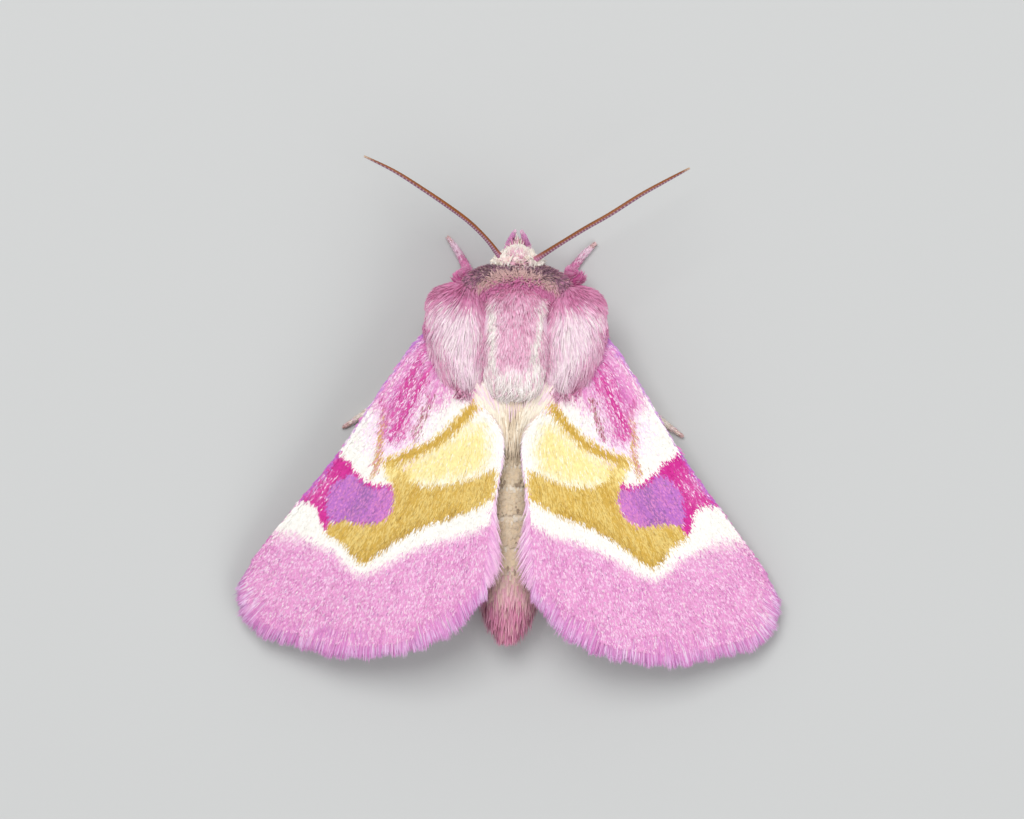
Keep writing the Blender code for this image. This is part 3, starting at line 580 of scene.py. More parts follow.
@dataclass(frozen=True)
class Finish:
    """A surface: its colour comes from the piece, the rest from here."""

    name: str
    roughness: float = 0.6
    sheen: float = 0.0
    gloss: float = 0.0
    fineness: float = 9000.0
    mottle: float = 0.35
    bump: float = 0.25
    facets: float = 0.0

    def material(self) -> bpy.types.Material:
        """Builds the material, or finds it where it exists already.

        Returns:
            The material.
        """
        if self.name in bpy.data.materials:
            return bpy.data.materials[self.name]
        made = bpy.data.materials.new(self.name)
        made.use_nodes = True
        tree = made.node_tree
        shader = tree.nodes["Principled BSDF"]
        colour, grain, bump = (tree.nodes.new("ShaderNode" + kind) for kind in ("Attribute", "Group", "Bump"))
        colour.attribute_name, grain.node_tree = COAT, grain_group()
        preset(shader, {"Sheen Weight": self.sheen, "Coat Weight": self.gloss})
        preset(shader, {"Coat Roughness": 0.12, "Specular IOR Level": 0.35})
        preset(grain, {"Fineness": self.fineness, "Mottle": self.mottle, "Roughness": self.roughness})
        preset(bump, {"Strength": self.bump, "Distance": 0.02 * MM})
        wire(
            tree, (colour, "Color", grain, "Colour"), (grain, "Colour", shader, "Base Color"),
            (grain, "Roughness", shader, "Roughness"), (grain, "Height", bump, "Height"),
            (bump, "Normal", shader, "Normal"),
        )
        if self.facets:
            place, cells = (tree.nodes.new("ShaderNode" + kind) for kind in ("TexCoord", "TexVoronoi"))
            preset(cells, {"Scale": self.facets})
            wire(tree, (place, "Object", cells, "Vector"), (cells, "Distance", bump, "Height"))
            bump.invert = True
        return made


SCALES = Finish("Wing scales", roughness=0.55, sheen=0.15, mottle=0.25)
HAIR = Finish("Soft hair", roughness=0.6, sheen=0.3, mottle=0.25)
SKIN = Finish("Skin", roughness=0.75, mottle=0.5, bump=0.6)
HORN = Finish("Ringed horn", roughness=0.42, gloss=0.1, mottle=0.3, bump=0.3)
EYE = Finish("Eye facets", roughness=0.22, gloss=0.7, fineness=5000, mottle=0.9, bump=0.5, facets=26000)


def dress(piece: Thing, finish: Finish, slot: str, *nodes: str) -> None:
    """Gives a piece its finish and fixes it to the body.

    Args:
        piece: The piece.
        finish: Its surface.
        slot: The record's material slot that it shows; not used.
        nodes: The solids that it stands for.
    """
    piece.data.materials.clear()
    piece.data.materials.append(finish.material())
    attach(piece, "root")
    if nodes:
        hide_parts(*nodes)
    LOG.info("%s: %d faces", piece.name, len(piece.data.polygons))


# Wings


@dataclass(frozen=True)
class WingPlan:
    """The outline of a wing in plan, and the height that it lies at."""

    costa: Points
    inner: Points
    outer: Points
    drop: float
    veins: tuple[float, ...]

    def plan(self, s: Array, t: Array) -> Array:
        """The place in plan at a share s of the length and t of the breadth from the costa."""
        front, back, edge = smooth(self.costa, s), smooth(self.inner, s), smooth(self.outer, t)
        s, t = s[:, None], t[:, None]
        far = (1 - t) * self.costa[-1] + t * self.inner[-1]
        return (1 - t) * front + t * back + s * (edge - far)

    def ahead(self, s: Array, t: Array) -> Array:
        """The way from the wing's root to its outer edge, in plan."""
        return unit(self.plan(s + STEP, t) - self.plan(s - STEP, t))

    def height(self, at: Array) -> Array:
        """The height of the wing's middle surface over places in plan."""
        out = at[..., 0] - 0.4
        behind = np.maximum(at[..., 1] - 6.0, 0.0) / 3.0
        return 3.3 - 0.225 * out - 0.005 * out**2 - 0.15 * behind**2 - self.drop

    def relief(self, s: Array, t: Array) -> Array:
        """The ridges of the veins and the shallow folds between them."""
        ridges = sum(bell(t - vein, 0.011) for vein in self.veins)
        return 0.05 * ridges * ramp(s, 0.05, 0.3) + 0.035 * np.sin(t * 19.0 + 0.6) * ramp(s, 0.1, 0.8)

    def scatter(self, count: int, rng: Random) -> tuple[Array, Array]:
        """Places that lie evenly over the wing.

        Args:
            count: How many.
            rng: The random numbers.

        Returns:
            Their shares of the length and of the breadth.
        """
        s, t = rng.uniform(0.005, PLATE_END, 6 * count), rng.uniform(0.004, 0.996, 6 * count)
        along = self.plan(s + STEP, t) - self.plan(s - STEP, t)
        wide = self.plan(s, t + STEP) - self.plan(s, t - STEP)
        area = np.abs(along[:, 0] * wide[:, 1] - along[:, 1] * wide[:, 0])
        kept = np.flatnonzero(rng.random(len(s)) < area / area.max() * 1.02)[:count]
        return s[kept], t[kept]


FOREWING = WingPlan(
    ((1.1, -3.25), (3.1, -2.95), (4.5, -1.2), (6.2, 1.45), (7.85, 3.6), (9.3, 5.5)),
    ((1.1, -1.6), (1.3, -0.6), (0.5, 0.6), (0.38, 1.7), (0.64, 3.2), (0.8, 4.8), (1.0, 6.4)),
    ((9.3, 5.5), (9.68, 6.6), (9.25, 7.85), (7.6, 8.45), (5.8, 8.72), (3.9, 8.5), (2.3, 7.7), (1.0, 6.4)),
    0.0,
    (0.07, 0.21, 0.32, 0.43, 0.54, 0.64, 0.75, 0.89),
)
HINDWING = WingPlan(
    ((1.0, -1.5), (2.9, -0.3), (4.6, 2.2), (6.3, 5.0)),
    ((1.0, -0.7), (1.65, 0.6), (1.5, 3.0), (1.5, 5.3)),
    ((6.3, 5.0), (6.45, 6.3), (4.8, 7.1), (2.9, 6.75), (1.5, 5.3)),
    0.62,
    (0.125, 0.31, 0.5, 0.69, 0.875),
)


@dataclass(frozen=True)
class ForewingMarkings:
    """The pattern of the forewing: named lines and outlines in plan, in millimetres."""

    antemedial: Points = (
        (1.43, -0.2), (1.83, 0.25), (2.28, 0.73), (2.81, 1.15), (3.27, 1.37), (3.67, 1.58), (4.2, 1.79), (4.53, 1.94),
    )
    cell_line: Points = (
        (4.72, -0.34), (4.65, 0.06), (4.73, 0.6), (4.79, 1.07), (4.81, 1.61), (4.93, 2.08), (5.05, 2.42),
    )
    basal_blotch: Points = ((2.72, -2.79), (3.13, -1.92), (3.61, -0.89), (4.05, 0.13), (4.28, 0.74))
    basal_costa: Points = ((3.41, -2.84), (3.85, -2.04), (4.3, -1.16), (4.67, -0.36))
    basal_inner: Points = ((2.27, -2.15), (2.46, -1.21), (2.73, -0.56))
    basal_vein: Points = ((3.02, -0.48), (3.19, 0.03), (3.56, 0.98))
    patch_edge: Points = (
        (4.31, 2.67), (4.23, 3.12), (4.29, 3.54), (4.49, 3.88), (4.88, 4.09), (5.35, 4.14), (5.74, 4.05), (6.15, 4.06),
        (6.55, 4.14),
    )
    patch: Points = (
        (6.28, 1.65), (5.95, 1.9), (5.66, 2.22), (5.25, 2.62), (4.84, 2.74), *patch_edge, (6.71, 4.47), (6.89, 4.14),
        (7.03, 3.73), (7.24, 3.49), (7.51, 3.42), (7.85, 3.43), (8.34, 3.26), (7.82, 2.53), (7.19, 1.93), (6.66, 1.38),
    )
    violet: Points = (
        (6.22, 2.48), (5.78, 2.27), (5.24, 2.74), (4.88, 2.83), (4.3, 2.78), (4.05, 3.16), (4.15, 3.56), (4.38, 4.0),
        (4.86, 4.26), (5.35, 4.32), (5.78, 4.24), (6.25, 4.24), (6.58, 4.2), (6.78, 3.69), (6.74, 3.25), (6.55, 2.8),
    )
    grey_streak: Points = ((5.24, 2.82), (5.3, 3.15), (5.54, 3.55), (5.78, 3.92))
    band_foot: Points = (
        (5.75, 5.25), (5.39, 5.58), (5.06, 5.47), (4.58, 5.07), (3.89, 4.59), (3.22, 4.21), (2.54, 3.96), (1.86, 3.7),
    )
    band: Points = (
        (0.5, 1.96), (0.97, 2.17), (1.5, 2.39), (2.3, 2.61), (3.1, 2.69), (3.73, 2.49), (4.03, 2.0), (4.33, 1.83),
        (4.54, 1.94), (4.53, 2.34), *patch_edge, (6.7, 4.52), (6.38, 4.65), (5.97, 4.91), *band_foot, (1.19, 3.4),
        (0.6, 3.05),
    )
    terminal: Points = (
        (-0.5, 3.4), (0.39, 3.74), (0.81, 3.94), (1.5, 4.31), (2.18, 4.47), (2.86, 4.69), (3.56, 4.97), (4.23, 5.35),
        (4.91, 5.71), (5.45, 5.89), (5.88, 5.59), (6.3, 5.12), (6.86, 4.93), (7.35, 4.67), (7.83, 4.4), (8.46, 4.35),
        (9.6, 4.3), (12.0, 6.0), (10.0, 11.0), (-1.0, 11.0),
    )
    yellow: Points = (
        (4.45, 2.44), (4.39, 2.01), (3.97, 1.82), (3.15, 1.47), (2.26, 0.94), (1.63, 0.42), (1.12, 0.41), (0.86, 0.98),
        (0.81, 1.52), (1.15, 2.07), (1.79, 2.37), (2.58, 2.57), (3.3, 2.66), (4.02, 2.72),
    )

    def colours(self, at: Array, s: Array, t: Array, rng: Random | None = None) -> tuple[Array, Array]:
        """The colours of scales at places in plan.

        Args:
            at: The places.
            s: Their share of the wing's length.
            t: Their share of its breadth.
            rng: Random numbers that break the edges up into single scales.

        Returns:
            The colours, and how hairlike each scale is, from 0 to 1.
        """
        if rng is not None:
            at = at + rng.normal(0, 0.05, at.shape)
        paint = Paint(len(at), Shade.WHITE, rng)
        lay, (x, y) = paint.lay, at.T
        streak, cloud = patchy(s * 6, t * 70, 3), patchy(x * 2.2, y * 2.2, 4)
        yellow, band = ramp(depth_in(self.yellow, at), -0.35, 0.5), depth_in(self.band, at)
        near_band = ramp(band, -0.5, 0.0)
        lay(Shade.YELLOW, yellow * (0.9 + 0.4 * streak), 0.4)
        lay(Shade.OCHRE_LIGHT, yellow * (0.12 + 0.7 * near_band) * ramp(streak, 0.25, 0.8), 0.6)
        lay(Shade.WHITE, yellow * 0.12 * (1 - near_band), 0.6)
        # The rosy root with its magenta blotch
        blotch, vein = near(self.basal_blotch, at, 0.8, 0.05), near(self.basal_vein, at, 0.2, 0.02)
        lay(Shade.PINK_PALE, near(self.basal_blotch, at, 1.7, 0.3) * 0.8)
        lay(Shade.PINK, near(self.basal_costa, at, 0.85, 0.1) * (0.35 + 0.8 * streak), 0.5)
        lay(Shade.PINK, near(self.basal_inner, at, 0.75, 0.1) * (0.2 + 0.9 * streak), 0.5)
        lay(Shade.PINK_DEEP, blotch * (0.35 + 0.9 * streak), 0.5)
        lay(Shade.MAGENTA, ramp(blotch, 0.25, 0.85) * (0.4 + 0.6 * ramp(streak, 0.25, 0.75)) * 0.8, 0.5)
        lay(Shade.PINK_PALE, blotch * 0.18, 0.8)
        lay(Shade.ROSE, vein * 0.5, 0.6)
        lay(Shade.BROWN, vein * 0.3, 0.6)
        lay(Shade.PINK, ramp(-s, -0.26, -0.1) * 0.85, 0.5)
        # The thin lines between the white fields
        cell = near(self.cell_line, at, 0.17, 0.03) * (0.3 + 0.5 * cloud)
        lay(Shade.ROSE, cell, 0.6)
        lay(Shade.OCHRE, cell * ramp(y, -0.2, 0.8), 0.6)
        lay(Shade.OCHRE_LIGHT, near(self.antemedial, at, 0.32, 0.1) * 0.7)
        lay(Shade.OCHRE, near(self.antemedial, at, 0.2, 0.06))
        # The pink outer field
        depth, near_costa = depth_in(self.terminal, at), ramp(x, 6.4, 8.4)
        pink = ramp(depth, -0.1, 0.4) * (1 - near_costa) + near_costa * ramp(depth, -0.1, 0.85)
        lay(Shade.PINK, pink, 0.4)
        lay(Shade.PINK_DEEP, pink * ramp(cloud, 0.35, 0.95) * 0.35)
        lay(Shade.PINK_PALE, pink * 0.26, 0.5)
        lay(Shade.WHITE, pink * 0.06, 0.45)
        lay(Shade.VIOLET_GREY, pink * 0.02, 0.4)
        # The ochre band
        inside, foot = ramp(band, -0.06, 0.09), near(self.band_foot, at, 0.5)
        junction = np.exp(-(np.sum((at - (4.35, 2.25)) ** 2, axis=1) / 0.12))
        lay(Shade.OCHRE, inside)
        lay(Shade.OCHRE_LIGHT, inside * (0.55 - 0.36 * foot) * (0.3 + 1.4 * streak), 0.75)
        lay(Shade.OCHRE_DARK, inside * (0.08 + 0.3 * foot) * (0.4 + streak), 0.5)
        lay(Shade.YELLOW, inside * junction * 0.75, 0.6)
        # The magenta patch at the costa with its violet kidney
        patch = ramp(depth_in(self.patch, at), -0.04, 0.05)
        violet = ramp(depth_in(self.violet, at), -0.02, 0.12) * patch
        light = np.exp(-(np.sum((at - (7.25, 2.65)) ** 2, axis=1) / 0.42))
        lay(Shade.MAGENTA, patch)
        lay(Shade.PINK, patch * light * (0.35 + 0.7 * streak), 0.55)
        lay(Shade.PINK_PALE, patch * light * 0.35 * streak, 0.9)
        lay(Shade.VIOLET, patch * ramp(-t, -0.1, -0.02) * 0.6, 0.6)
        lay(Shade.VIOLET, violet)
        lay(Shade.PINK, violet * (0.16 + 0.4 * ramp(-x, -5.6, -4.6)) * (0.5 + cloud), 0.5)
        lay(Shade.VIOLET_GREY, violet * near(self.grey_streak, at, 0.5) * 0.45, 0.4)
        lay(Shade.VIOLET_GREY, violet * ramp(streak, 0.4, 1.0) * 0.25, 0.6)
        lay(Shade.PINK, violet * 0.2, 0.6)
        # The front edge
        lay(Shade.VIOLET, ramp(-t, -0.034, -0.008) * ramp(s, 0.12, 0.25) * ramp(-s, -0.85, -0.7) * 0.75, 0.4)
        lay(Shade.VIOLET, ramp(-t, -0.11, -0.02) * ramp(-s, -0.32, -0.2) * 0.6, 0.6)
        lay(Shade.PINK_DEEP, ramp(s, 0.6, 0.72) * ramp(-t, -0.02, -0.004) * 0.7)
        paint.vary(0.05)
        return paint.colour, np.clip(inside + yellow + 0.7 - 0.4 * pink - patch * 0.3, 0, 1)


@dataclass
class Wing:
    """One pair of wings with its membrane, its coat and its fringe."""

    kind: str
    wing: WingPlan
    slot: str
    scales_above: int
    scales_below: int
    fringe_hairs: int
    seed: int
    lift: float = 0.06
    thick: float = 0.07
    layers: int = 1

    def above(self, at: Array, s: Array, t: Array, rng: Random | None, side: int = 1) -> tuple[Array, Array]:
        """The colours of the upper side; the right wing's pattern lies a little further in.

        Args:
            at: The scales' places in plan.
            s: Their shares of the length.
            t: Their shares of the breadth.
            rng: Random numbers that break up the edges of the markings.
            side: 1 for the left wing and -1 for the right one.

        Returns:
            The colours, and how hairlike each scale is, from 0 to 1.
        """
        if side < 0:
            spread = ramp(at[:, 0], 0.8, 5.0) * (1 - 0.65 * ramp(at[:, 1], 2.8, 5.5))
            at = at + spread[:, None] * (0.45, 0.24)
        if self.kind == "forewing":
            return ForewingMarkings().colours(at, s, t, rng)
        paint = Paint(len(at), Shade.CREAM, rng)
        paint.lay(Shade.PINK, ramp(s, 0.55, 1.0) * 0.7)
        paint.lay(Shade.SMOKE, ramp(patchy(s * 5, t * 9, 7), 0.4, 1.0) * 0.3)
        paint.vary(0.06)
        return paint.colour, np.full(len(at), 0.5)

    def below(self, at: Array, s: Array, t: Array, rng: Random | None) -> Array:
        """The colours of the lower side."""
        paint = Paint(len(at), Shade.CREAM, rng)
        paint.lay(Shade.SMOKE, ramp(patchy(at[:, 0], at[:, 1] * 0.8, 8), 0.3, 0.9) * 0.5)
        paint.lay(Shade.PINK, ramp(s, 0.35, 0.9) * 0.75 + ramp(-t, -0.12, -0.02) * 0.9)
        paint.lay(Shade.FRINGE, ramp(s, 0.86, 0.97) * 0.6)
        paint.vary(0.06)
        return paint.colour

    def membrane(self) -> Thing:
        """Bends a flat grid into the wing's thin plate, with its veins raised.

        Returns:
            The left wing's membrane.
        """
        bpy.ops.mesh.primitive_grid_add(x_subdivisions=70, y_subdivisions=76, size=2)
        piece = named(self.kind + "_left_membrane")
        flat = coordinates(piece) * MM
        s, t = (flat[:, 0] + 1) * (PLATE_END / 2), (flat[:, 1] + 1) / 2
        at, relief = self.wing.plan(s, t), self.wing.relief(s, t)
        reshape(piece, np.column_stack((at, self.wing.height(at) + self.lift + relief)))
        upper, lower = self.above(at, s, t, None)[0], self.below(at, s, t, None)
        modify(piece, "SOLIDIFY", thickness=self.thick * MM, offset=-1.0)
        places = coordinates(piece)
        middle = self.wing.height(np.abs(places[:, :2])) + self.lift - self.thick / 2
        under = places[:, 2] < middle + np.tile(relief, 2)
        tint(piece, np.where(under[:, None], np.tile(lower, (2, 1)), np.tile(upper, (2, 1))))
        return piece

    def laid(self, at: Array, lean: Array, long: Array, tufts: Tufts, lift: Callable[[float], Array]) -> Array:
        """Lays scales along the wing.

        Args:
            at: Their roots in plan.
            lean: The ways that they lie, in plan.
            long: Their lengths.
            tufts: The coat that they are for.
            lift: Their heights above the wing's middle surface at a share of the length.

        Returns:
            Their points.
        """
        spots = [at + lean * (long * step)[:, None] for step in tufts.steps]
        heights = [self.wing.height(spot) + lift(step) for spot, step in zip(spots, tufts.steps)]
        return np.stack([np.column_stack(point) for point in zip(spots, heights)], 1)

    def scale_coat(self, hand: str, side: int, over: bool, layer: int = 0) -> Tufts:
        """The scales of one side of one wing, each on its own root.

        Args:
            hand: left or right.
            side: 1 for the left wing and -1 for the right one.
            over: True for the upper side.
            layer: Which of the pieces that share a side's scales.

        Returns:
            The scales.
        """
        rng = np.random.default_rng(self.seed + 10 * over + side + 20 * layer)
        place = f"scales_{layer + 1}" if over else "under_scales"
        tufts = Tufts(f"{self.kind}_{hand}_{place}", (0.0, 0.5, 1.0), (1.0,), 0.0)
        s, t = self.wing.scatter(self.scales_above if over else self.scales_below, rng)
        at, ahead = self.wing.plan(s, t), self.wing.ahead(s, t)
        if over:
            colour, hairlike = self.above(at + ahead * 0.17, s, t, rng, side)
            size, up, ground = 1.0, 1.0, self.lift + self.wing.relief(s, t)
        else:
            colour, hairlike = self.below(at, s, t, rng), np.full(len(s), 0.4)
            size, up, ground = 1.5, -1.0, self.lift + self.wing.relief(s, t) - self.thick
        turn = rng.normal(0, 0.1 + 0.1 * (1 - hairlike))[:, None]
        lean = ahead * np.cos(turn) + aside(ahead) * np.sin(turn)
        length = (0.165 + 0.135 * hairlike) * rng.uniform(0.8, 1.25, len(s)) * size
        width = (0.06 - 0.02 * hairlike) * rng.uniform(0.8, 1.2, len(s)) * size
        stand, lifts = rng.uniform(0.02, 0.05, len(s)), dict(zip(tufts.steps, (-0.3, 0.75, 1.0)))
        spine = self.laid(at, lean, length, tufts, lambda step: ground + up * (stand * lifts[step] + 0.005))
        slope = np.column_stack((0.225 + 0.01 * at[:, 0], np.zeros(len(s)), np.ones(len(s)))) * up
        tip = np.clip(colour * rng.uniform(0.98, 1.08, (len(s), 1)), 0, 1)
        tufts.add(spine, slope, width, colour * 0.97, tip, np.column_stack((s, t)))
        return tufts.on_side(side)

    def fringe(self, hand: str, side: int) -> Tufts:
        """The long scales of the outer margin and the hair of the inner one.

        Args:
            hand: left or right.
            side: 1 for the left wing and -1 for the right one.

        Returns:
            The fringe.
        """
        rng, count, plan = np.random.default_rng(self.seed + 50 + side), self.fringe_hairs, self.wing.plan
        tufts, ones = Tufts(f"{self.kind}_{hand}_fringe"), np.ones(count)
        raw = np.sort(rng.uniform(-0.004, 1.0, count))
        t, grown = np.clip(raw, 0, 1), ramp(raw, 0.02, 0.32)
        s = rng.uniform(0.915, 0.965, count) + 0.025 * (1 - grown)
        at, rim = plan(s, t), plan(ones, t)
        along = plan(ones, np.clip(raw + 0.02, 0, 1)) - plan(ones, np.clip(raw - 0.02, 0, 1))
        out = unit(aside(along))
        out *= np.sign(np.sum(out * (rim - plan(ones * 0.6, ones * 0.45)), axis=1))[:, None]
        clump = patchy(raw * 60, s * 0, 21) - 0.5
        turned = (0.7 * grown * (1 - 0.6 * ramp(raw, 0.84, 1.0)))[:, None]
        lean = unit(turned * out + (1 - turned) * unit(rim - at))
        lean = unit(lean + unit(along) * (clump * 0.2 + rng.normal(0, 0.05, count))[:, None])
        reach = np.linalg.norm(rim - at, axis=1) + 0.05 + 0.33 * grown
        long = reach * (1 - 0.2 * patchy(raw * 95, s * 0, 22)) * rng.uniform(0.74, 1.08, count)
        ground, relief = self.lift + rng.uniform(-self.thick, 0.06, count), self.wing.relief(s, t)
        spine = self.laid(
            at, lean, long, tufts, lambda k: ground * (1 - 0.3 * k) + relief * (1 - 0.6 * k) - 0.06 * k**2
        )
        paint = Paint(count, Shade.FRINGE, rng)
        paint.lay(Shade.PINK, 0.6, 0.5)
        paint.lay(Shade.PINK_PALE, ramp(patchy(raw * 110, s * 0, 23), 0.5, 0.9) * 0.5)
        paint.lay(Shade.WHITE, 0.1, 0.7)
        paint.vary(0.08)
        ends = Paint(count, Shade.FRINGE_TIP, rng)
        ends.lay(Shade.FRINGE, 0.5)
        ends.lay(Shade.VIOLET_GREY, 0.05, 0.6)
        width = rng.uniform(0.028, 0.048, count)
        patch = np.column_stack((0.93 + 0.06 * rng.random(count), t))
        tufts.add(spine, (0.24, 0.0, 1.0), width, paint.colour, ends.colour, patch)
        self.inner_hair(tufts, rng)
        return tufts.on_side(side)

    def inner_hair(self, tufts: Tufts, rng: Random) -> None:
        """Adds the hair along the margin beside the abdomen, longest near the wing's hind corner.

        Args:
            tufts: The fringe that it joins.
            rng: The random numbers.
        """
        count = self.fringe_hairs * 4 // 9
        s = 0.93 - 0.68 * rng.random(count) ** 1.2
        t = 1 - rng.uniform(0.0, 0.05, count)
        ahead = self.wing.ahead(s, t)
        inward = aside(ahead)
        inward *= np.sign(-inward[:, :1])
        lean = unit(ahead + inward * (rng.normal(0.25, 0.13, count) + 0.33 * ramp(s, 0.62, 0.82))[:, None])
        long = (0.3 + 0.9 * ramp(s, 0.55, 0.75)) * rng.uniform(0.4, 1.05, count) * (1 - 0.5 * ramp(s, 0.84, 0.93))
        droop, ground = rng.uniform(0.05, 0.25, count), self.lift + self.wing.relief(s, t) + 0.03
        spine = self.laid(self.wing.plan(s, t), lean, long, tufts, lambda step: ground - droop * step**1.5)
        paint = Paint(count, Shade.WHITE, rng)
        paint.lay(Shade.PINK_PALE, ramp(s, 0.3, 0.5) * 0.8)
        paint.lay(Shade.PINK, ramp(s, 0.5, 0.8) * 0.6, 0.35)
        paint.lay(Shade.FRINGE, ramp(s, 0.6, 0.9) * 0.35, 0.6)
        paint.lay(Shade.BEIGE, ramp(-s, -0.38, -0.28) * 0.6)
        paint.vary(0.08)
        width, tip = rng.uniform(0.026, 0.042, count), paint.toward(Shade.PINK_PALE, 0.45)
        tufts.add(spine, (0.1, 0.0, 1.0), width, paint.colour, tip, np.column_stack((s * 0.99, t)))

    def build(self) -> None:
        """Makes both wings of the pair."""
        left = self.membrane()
        activate(left)
        bpy.ops.object.duplicate()
        right = named(self.kind + "_right_membrane")
        reshape(right, coordinates(right) * (-1.0, 1.0, 1.0))
        on_faces(bpy.ops.mesh.flip_normals)
        for (hand, side), piece in zip(HANDS, (left, right)):
            dress(piece, SKIN, self.slot, f"{self.kind}_{hand}")
            for layer in range(self.layers):
                dress(self.scale_coat(hand, side, True, layer).build(), SCALES, self.slot)
            dress(self.scale_coat(hand, side, False).build(), SCALES, self.slot)
            dress(self.fringe(hand, side).build(), SCALES, self.slot)


# Body


@dataclass(frozen=True)
class Body:
    """The skin of head, thorax and abdomen, and the hair on it, with the numbers of its roots."""

    head: Dome = Dome((0.0, -5.42, 2.62), (0.7, 0.5, 0.66))
    face: Dome = Dome((0.0, -5.38, 2.12), (0.5, 0.52, 0.55))
    neck: Dome = Dome((0.0, -5.0, 2.6), (0.6, 0.6, 0.55))
    collar: Dome = Dome((0.0, -4.5, 2.85), (1.9, 0.86, 0.98))
    thorax: Dome = Dome((0.0, -2.45, 2.55), (1.25, 1.75, 1.25))
    disc: Dome = Dome((0.0, -2.75, 2.95), (1.3, 1.95, 1.34), 2.4)
    tegula: Dome = Dome((1.88, -2.8, 3.02), (1.08, 1.8, 0.74), 2.3)
    shoulder: Dome = Dome((2.35, -2.95, 2.9), (0.85, 0.7, 0.42))
    heights: tuple[float, ...] = (1.95, 1.82, 1.7, 1.6, 1.5, 1.4, 1.3)
    stations: tuple[float, ...] = (-1.6, 0.0, 1.6, 3.2, 4.8, 6.4, 7.7)
    radii: tuple[float, ...] = (0.75, 0.9, 0.93, 0.92, 0.9, 0.93, 0.2)
    joints: tuple[float, ...] = (0.9, 1.75, 2.52, 3.64, 4.76, 5.63, 6.5)
    # How many roots are tried, and how many are kept at most
    tegula_roots: tuple[int, int] = (12600, 10000)
    disc_roots: tuple[int, int] = (18500, 10000)
    collar_roots: tuple[int, int] = (17000, 10500)
    # All over the head, on its top and on the face
    head_roots: tuple[int, int, int] = (5600, 1800, 2000)
    # On the thorax and on each shoulder
    breast_roots: tuple[int, int] = (5500, 1700)
    # Along the abdomen and at its end
    abdomen_roots: tuple[int, int] = (5200, 3500)
    vee_roots: int = 4500

    @property
    def abdomen(self) -> Tube:
        """The abdomen, from inside the thorax to the tail."""
        return Tube(tuple((0.0, y, z) for y, z in zip(self.stations, self.heights)), self.radii, 1.08)

    def ledge(self, y: Array) -> Array:
        """How far each ring of the abdomen has swelled from its front edge to its rear one."""
        edges = np.array((-2.0,) + self.joints + (8.0,))
        place = np.clip(np.searchsorted(edges, y, side="right") - 1, 0, len(edges) - 2)
        return (y - edges[place]) / (edges[place + 1] - edges[place])

    def skin(self) -> Thing:
        """Melts the rounded parts of the body into one skin and adds the ringed abdomen.

        Returns:
            The skin.
        """
        torso, head = ball("body_skin", self.thorax), ball("head", self.head.scaled(0.97))
        reshape(head, self.narrowed(coordinates(head)))
        parts = [torso, head] + [ball("part", dome.scaled(0.97)) for dome in (self.face, self.collar, self.disc)]
        parts.append(ball("neck", self.neck))
        for side in (1, -1):
            cover = ball("cover", self.tegula.scaled(0.94, side))
            reshape(cover, self.tapered(coordinates(cover), side))
            parts += [cover, ball("shoulder", self.shoulder.scaled(0.94, side))]
        activate(*parts)
        bpy.ops.object.join()
        modify(torso, "REMESH", mode="VOXEL", voxel_size=VOXEL * MM)
        modify(torso, "SMOOTH", factor=0.6, iterations=6)
        belly, _ = limb("abdomen_skin", self.abdomen, 64, 220)
        at = coordinates(belly)
        centre = smooth(self.abdomen.path, np.clip((at[:, 1] + 1.6) / 9.6, 0, 1))
        centre[:, 1] = at[:, 1]
        swell = 1 + 0.075 * (self.ledge(at[:, 1]) ** 0.6 - 0.5)
        reshape(belly, at + (at - centre) * (swell[:, None] - 1))
        activate(torso, belly)
        bpy.ops.object.join()
        _, y, z = coordinates(torso).T
        paint, joint = Paint(len(y), Shade.ROSE_PALE), 1 - self.ledge(y)
        paint.lay(Shade.BEIGE, ramp(y, -1.5, -0.6))
        paint.lay(Shade.TAN, ramp(y, 0.2, 1.2) * 0.8)
        paint.lay(Shade.CREAM, ramp(y, 0.0, 1.0) * ramp(joint, 0.7, 0.95) * 0.5)
        paint.lay(Shade.TAN_DARK, ramp(y, 0.0, 1.0) * ramp(joint, 0.965, 0.99) * 0.2)
        paint.lay(Shade.ROSE, ramp(y, 5.5, 7.2) * 0.6)
        paint.lay(Shade.MAUVE, ramp(-y, 4.3, 4.9) * ramp(z, 2.4, 3.0) * 0.7)
        paint.lay(Shade.CREAM, ramp(-y, 5.06, 5.16) * ramp(z, 2.4, 2.7))
        tint(torso, paint.colour)
        return torso

    def narrowed(self, at: Array) -> Array:
        """Narrows the front of the head, or of the hair on it."""
        return at * (1 - 0.3 * ramp(-at[..., 1:2], 5.4, 6.05) * (1, 0, 0))

    def tapered(self, at: Array, side: int = 1) -> Array:
        """Draws the rear of a shoulder cover inwards and down to the wing, and widens its front.

        Args:
            at: Points on the cover or its hair.
            side: 1 for the left cover and -1 for the right one.

        Returns:
            The points after it.
        """
        behind = np.clip((at[..., 1] + 3.3) / 2.3, 0, 1.4) ** 1.2
        shaped = at.copy()
        x = at[..., 0] * side - self.tegula.centre[0]
        front = np.clip((-at[..., 1] - 2.9) / 1.5, 0, 1)
        x += np.maximum(x, 0) * 0.42 * front + 0.06 * front
        shaped[..., 0] = side * (self.tegula.centre[0] + x * (1 - 0.12 * behind) - 0.2 * behind)
        shaped[..., 2] = at[..., 2] - 0.22 * behind
        return shaped

    def patch_of(self, at: Array) -> Array:
        """The places of roots on an unwrap of the body, turned about its long axis."""
        turn = np.arctan2(at[:, 0], at[:, 2] - 2.2) / FULL_TURN + 0.5
        return np.column_stack((turn, np.clip((at[:, 1] + 6.6) / 15.6, 0, 1)))

